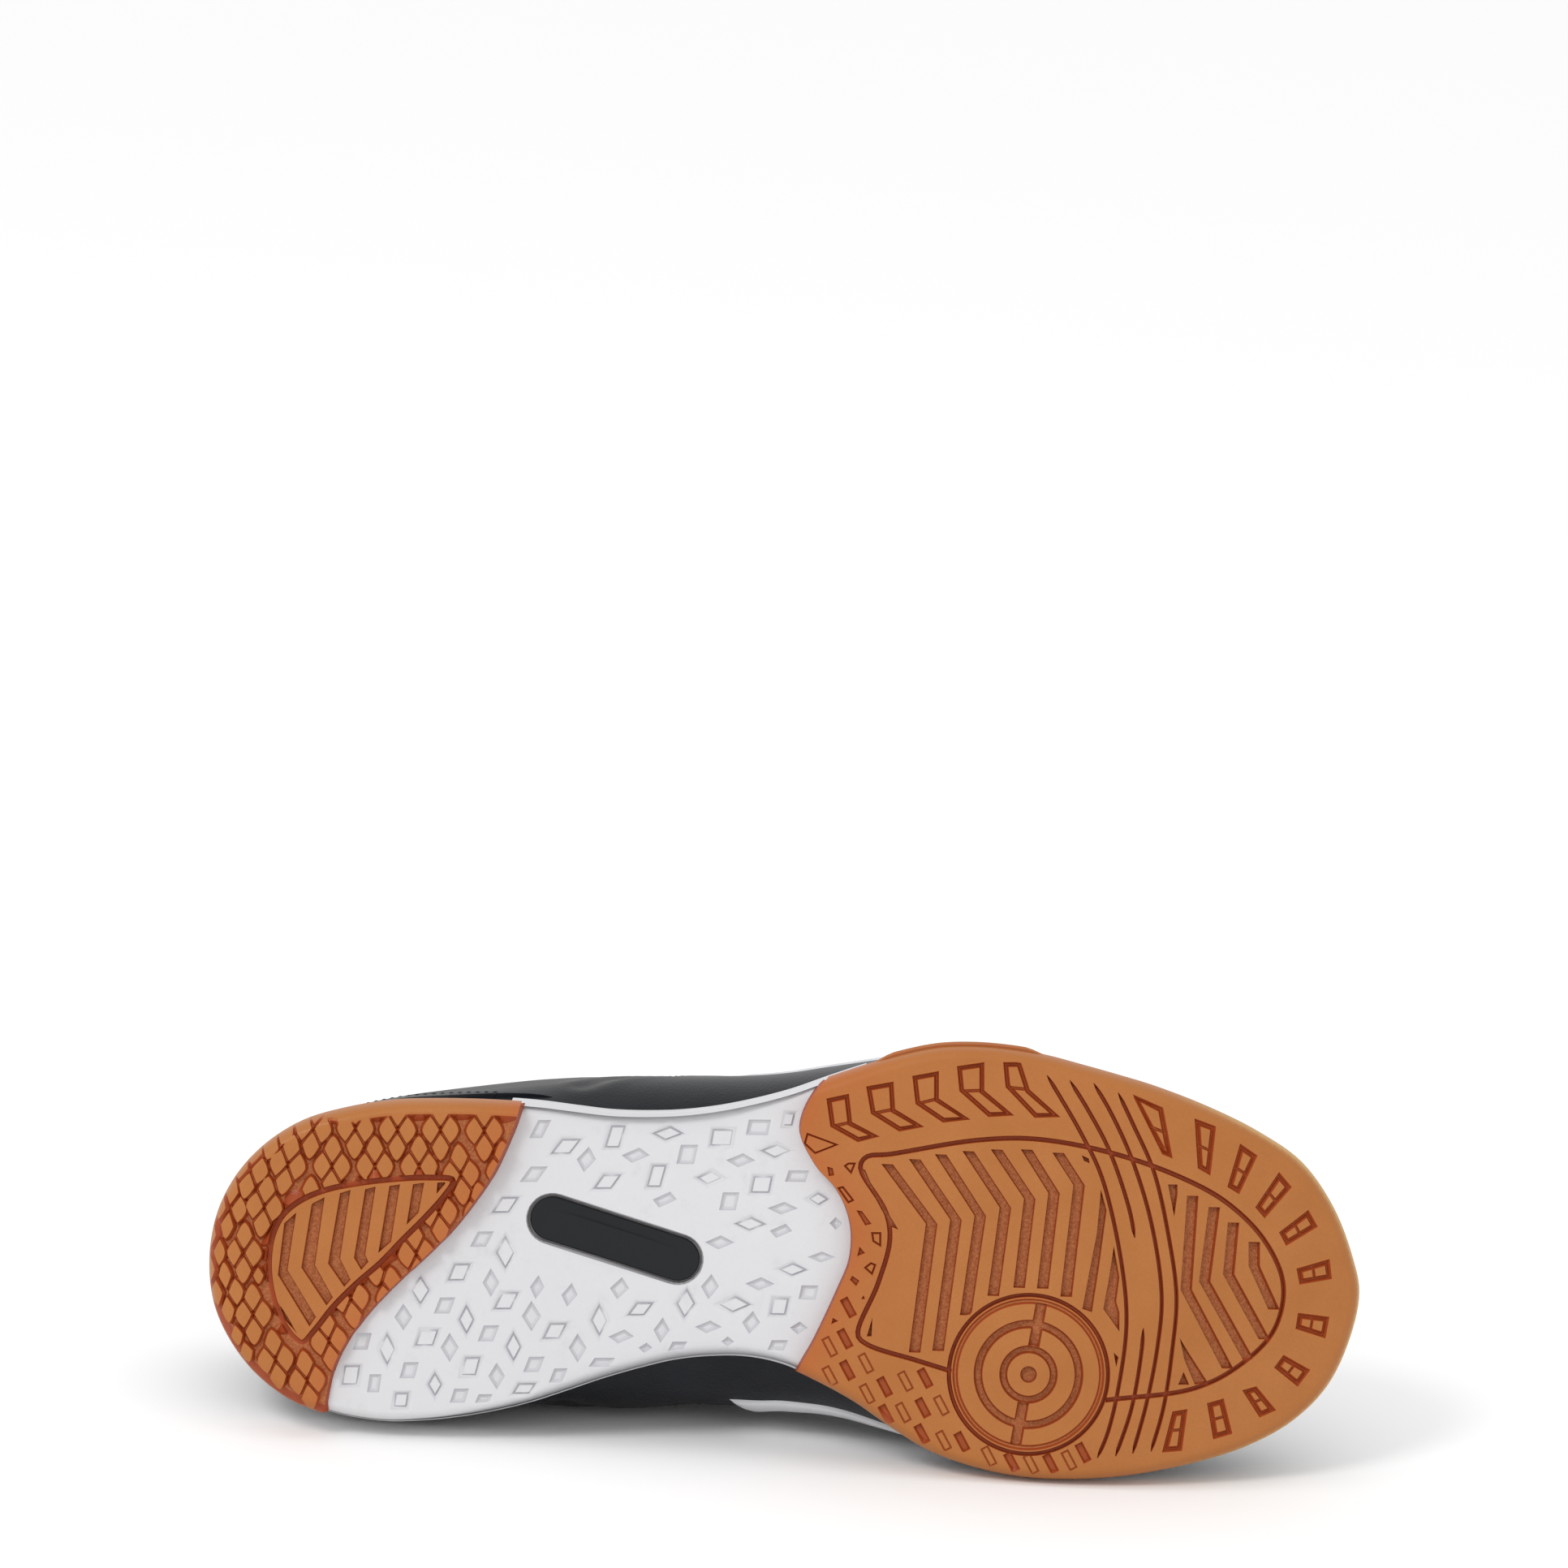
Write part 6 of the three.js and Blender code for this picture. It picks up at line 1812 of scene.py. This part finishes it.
def tongue_line(along, v, depth):
    """Points across the tongue at a share of its length; v runs from -1 to 1 across it."""
    end = THROAT_END + TONGUE["end"]
    x = end - along * (end - THROAT_TOP + TONGUE["rise"])
    rise = max(0.0, THROAT_TOP - x)
    spot = max(x, THROAT_TOP)
    bend = 0.35 * float(smooth((THROAT_TOP + TONGUE["bend"] - spot) / TONGUE["bend"]))
    taper = 1 - TONGUE["taper"] * float(smooth(rise / TONGUE["rise"] + bend))
    corner = max(0.0, rise - TONGUE["rise"] + TONGUE_CORNER) / TONGUE_CORNER
    half = np.abs(v) * (float(throat_half_at(spot)) + TONGUE["spread"]) * taper * (1 - 0.3 * corner**2.5)
    side = np.where(v < 0, -1, 1)
    line = blend(rib_at(spot, side), share_at_half(spot, side, half), depth)
    if rise > 0:
        slope = (ridge_at(THROAT_TOP) - ridge_at(THROAT_TOP + TONGUE["bend"])) / TONGUE["bend"]
        lift = np.array([-1.0, 0.0, float(slope) * 1.3])
        line = line + lift / np.linalg.norm(lift) * rise * 1.15
    return line


def tongue():
    """Padded sheet with a stitched channel near its top."""
    steps, ends = rolled(34)
    across = np.linspace(-1, 1, 21)
    base = UPPER_WALL + TONGUE["clearance"]
    outer, inner = [], []
    for along, full in zip(steps[::-1], ends[::-1]):
        crown = (1 - np.abs(across) ** 5) * full
        channel = CHANNEL["depth"] * np.exp(-(((along - CHANNEL["at"]) / CHANNEL["width"]) ** 2))
        outer.append(tongue_line(along, across, -base - (1 - crown) * TONGUE_EDGE - channel))
        under = TONGUE_EDGE + (TONGUE["thickness"] - TONGUE_EDGE) * crown
        inner.append(tongue_line(along, across, -base - under))
    return shell(np.array(outer), np.array(inner), False)


tongue_pad = piece("tongue_pad", *tongue(), TONGUE_CLOTH, "upper_leather", ["tongue"])


# Footbed
FOOTBED_GAP = 0.4
FOOTBED_RINGS = [(0.0, 0.3), (0.6, 0.9), (0.8, 2.1), (0.5, 2.9), (0.0, 3.3)]  # bulge, rise


def footbed():
    """Sheet over the foam, with a bulging edge along the upper's wall."""
    edge = FOOTBED_GAP + UPPER_INSET + UPPER_WALL
    high = sole_top_at(RIB_EDGE[:, 0])
    rings = FOOTBED_RINGS
    grid = np.stack([
        np.column_stack([RIB_EDGE - RIB_SIDE * (edge - bulge), high + rise]) for bulge, rise in rings
    ], axis=1)
    faces = grid_faces(RIBS, len(rings), True)
    for row, flip in ((0, True), (len(rings) - 1, False)):
        for k in range(TOE_RIB):
            a, b = k, k + 1
            c, d = (RIBS - k - 1) % RIBS, (RIBS - k) % RIBS
            loop = [v * len(rings) + row for v in (a, b, c, d)]
            loop = [v for n, v in enumerate(loop) if v != loop[n - 1]]
            faces.append(tuple(loop[::-1] if flip else loop))
    return weld(grid.reshape(-1, 3), faces)


piece("footbed", *footbed(), LINING, "lining", ["insole"])


# Lace: flat crossings that dip into the eyelets at both ends
LACE = {
    "width": 5.4, "thick": 1.2, "rows": 41, "gap": 0.5, "arch": 0.9, "dip": 3.6, "turn": 0.07, "reach": 0.985,
}
LACE_SECTION = [
    (-0.5, 0.5), (-0.44, 0.12), (-0.3, 0.0), (0.3, 0.0), (0.44, 0.12), (0.5, 0.5),
    (0.44, 0.88), (0.3, 1.0), (0.0, 1.04), (-0.3, 1.0), (-0.44, 0.88),
]


def lace_crossing(k, side, over):
    """One strand from an eyelet to the next pair's on the other side, lifted by the given height."""
    places = eyelet_places()
    fx, tx = places[k], places[k + 1]
    start = float(throat_half_at(fx)) + EYELET_MARGIN
    end = float(throat_half_at(tx)) + EYELET_MARGIN
    t = np.linspace(0, 1, LACE["rows"])
    into = smooth(np.minimum(t, 1 - t), 0.0, LACE["turn"])
    part = LACE["reach"] * (t - 0.5) + 0.5
    y = side * (start * (1 - part) - end * part)
    x = fx + (tx - fx) * part
    lift = PANEL_TOP + LACE["gap"] + over + LACE["arch"] * np.sin(math.pi * t) - LACE["dip"] * (1 - into)
    wide = LACE["width"] * (0.5 + 0.5 * into)
    j, h = (np.array(column)[:, None] for column in zip(*LACE_SECTION))
    px = x[None, :] + j * wide[None, :]
    turn = np.broadcast_to(np.where(y < 0, -1, 1)[None, :], px.shape)
    s = share_at_half(px, turn, np.broadcast_to(np.abs(y)[None, :], px.shape))
    grid = blend(rib_at(px, turn), s, lift[None, :] + h * LACE["thick"])
    return grid.reshape(-1, 3), grid_faces(len(LACE_SECTION), LACE["rows"], True, flip=side < 0)


def lace():
    """All strands as one mesh."""
    strands = ((1, 0.9), (-1, 0.0))  # side, lift of the strand that lies over the other
    return merge([lace_crossing(k, *strand) for k in range(EYELET_PAIRS - 1) for strand in strands])


piece("lace_run", *lace(), LACE_CLOTH, "lace", ["lace"])

# Wing: gum that climbs the upper's side at the lateral ball
WING = {
    "start": 158, "end": 214, "height": 12, "thickness": 1.2, "proud": 0.4, "lean": 0.07, "root": 3,
    "ribs": 5, "rib_height": 0.5, "margin": 0.06, "fade": 0.16, "sink": 0.6, "levels": 61,
}


def wing():
    """Ribbed flap of gum, with its values."""
    near = np.flatnonzero((RIB_EDGE[:TOE_RIB, 0] > WING["start"]) & (RIB_EDGE[:TOE_RIB, 0] < WING["end"]))
    share = np.linspace(0, 1, WING["levels"])[None, :]
    x = RIB_EDGE[near, 0][:, None]
    margin = WING["margin"]
    along = np.clip((x - WING["start"]) / (WING["end"] - WING["start"]), margin, 1 - margin)
    height = WING["height"] * np.sin(math.pi * along)
    base = gum_top_at(x) - WING["root"]
    z = base + (height + WING["root"]) * share
    lean = WING["lean"] * np.clip(z - base - WING["root"], 0, None)
    wave = 0.5 - 0.5 * np.cos(2 * math.pi * WING["ribs"] * share)
    edge = np.clip((1 - share) / 0.05, 0, 1) ** 0.5
    fade = smooth(np.minimum(along - margin, 1 - margin - along), 0.0, WING["fade"])
    out = (WING["proud"] + WING["rib_height"] * wave * edge) * fade - lean - WING["sink"] * (1 - fade)
    grids = []
    for lift in (out, np.full(out.shape, -WING["thickness"])):
        flat = RIB_EDGE[near][:, None, :] + RIB_SIDE[near][:, None, :] * lift[..., None]
        grids.append(np.concatenate([flat, z[..., None]], axis=-1))
    points, faces = shell(grids[0], grids[1], False)
    # Painted shade: between the ribs the gum turns half way to the dark floor colour, through sunk with no
    # tone.
    between = np.broadcast_to(1 - wave, out.shape).reshape(-1)
    sunk = np.concatenate([between * 0.5, np.zeros(out.size)])
    return points, faces, {"sunk": sunk, "side": np.full(len(points), 0.4)}


*wing_mesh, wing_values = wing()
piece("outsole_wing", *wing_mesh, GUM, "gum", ["outsole_forefoot"], values=wing_values)


# Floor, light and camera
FLOOR_HALF = 30
FLOOR_FINISH = Finish("floor", linear(250, 250, 250), 0.9, 0.0)
floor_mesh = bpy.data.meshes.new("floor")
corners = [(FLOOR_HALF * x, FLOOR_HALF * y, 0) for x, y in ((-1, -1), (1, -1), (1, 1), (-1, 1))]
floor_mesh.from_pydata(corners, [], [(0, 1, 2, 3)])
floor_mesh.materials.append(FLOOR_FINISH.material)
floor = bpy.data.objects.new("floor", floor_mesh)
bpy.context.scene.collection.objects.link(floor)

world = bpy.data.worlds.new("studio")
world.use_nodes = True
world.node_tree.nodes["Background"].inputs["Color"].default_value = (1, 1, 1, 1)
world.node_tree.nodes["Background"].inputs["Strength"].default_value = 1.0
bpy.context.scene.world = world
bpy.context.scene.view_settings.view_transform = "Standard"


def soft_light(name, place, aim, size, power):
    """Round area light that looks at a point."""
    data = bpy.data.lights.new(name, "AREA")
    data.shape = "DISK"
    data.size = size
    data.energy = power
    lamp = bpy.data.objects.new(name, data)
    lamp.location = place
    lamp.rotation_euler = (Vector(aim) - Vector(place)).to_track_quat("-Z", "Y").to_euler()
    bpy.context.scene.collection.objects.link(lamp)


soft_light("key", (-0.9, -1.3, 1.5), (0, 0, 0.05), 0.6, 13)

VIEW_SLANT = math.radians(5)
VIEW_REACH = 2000
SENSOR = 36
AIM_PLAN = (139.8, -122.5)
SHOE_MIDDLE = (142.8, 0)


def photo_camera():
    """The photograph's camera: it looks at the tread, a little from the lateral side."""
    away = np.array([0, -math.sin(VIEW_SLANT), -math.cos(VIEW_SLANT)])
    spot = np.array([*SHOE_MIDDLE, 0]) + VIEW_REACH * away
    aim = np.array([*AIM_PLAN, 0.0])
    ahead = aim - spot
    depth = np.linalg.norm(ahead)
    ahead /= depth
    right = np.array([math.cos(PICTURE_TURN), -math.sin(PICTURE_TURN), 0.0])
    right -= ahead * (right @ ahead)
    right /= np.linalg.norm(right)
    up = np.cross(right, ahead)
    data = bpy.data.cameras.new("camera")
    data.sensor_width = SENSOR
    data.lens = SENSOR * depth / (PICTURE_SCALE * PICTURE_SIZE)
    data.clip_start, data.clip_end = 0.05, 200
    made = bpy.data.objects.new("camera", data)
    turn = np.stack([AXES @ right, AXES @ up, AXES @ -ahead], axis=1)
    matrix = Matrix.Identity(4)
    for i in range(3):
        for j in range(3):
            matrix[i][j] = turn[i, j]
        matrix[i][3] = placed(spot[None])[0][i]
    made.matrix_world = matrix
    bpy.context.scene.collection.objects.link(made)
    bpy.context.scene.camera = made


photo_camera()
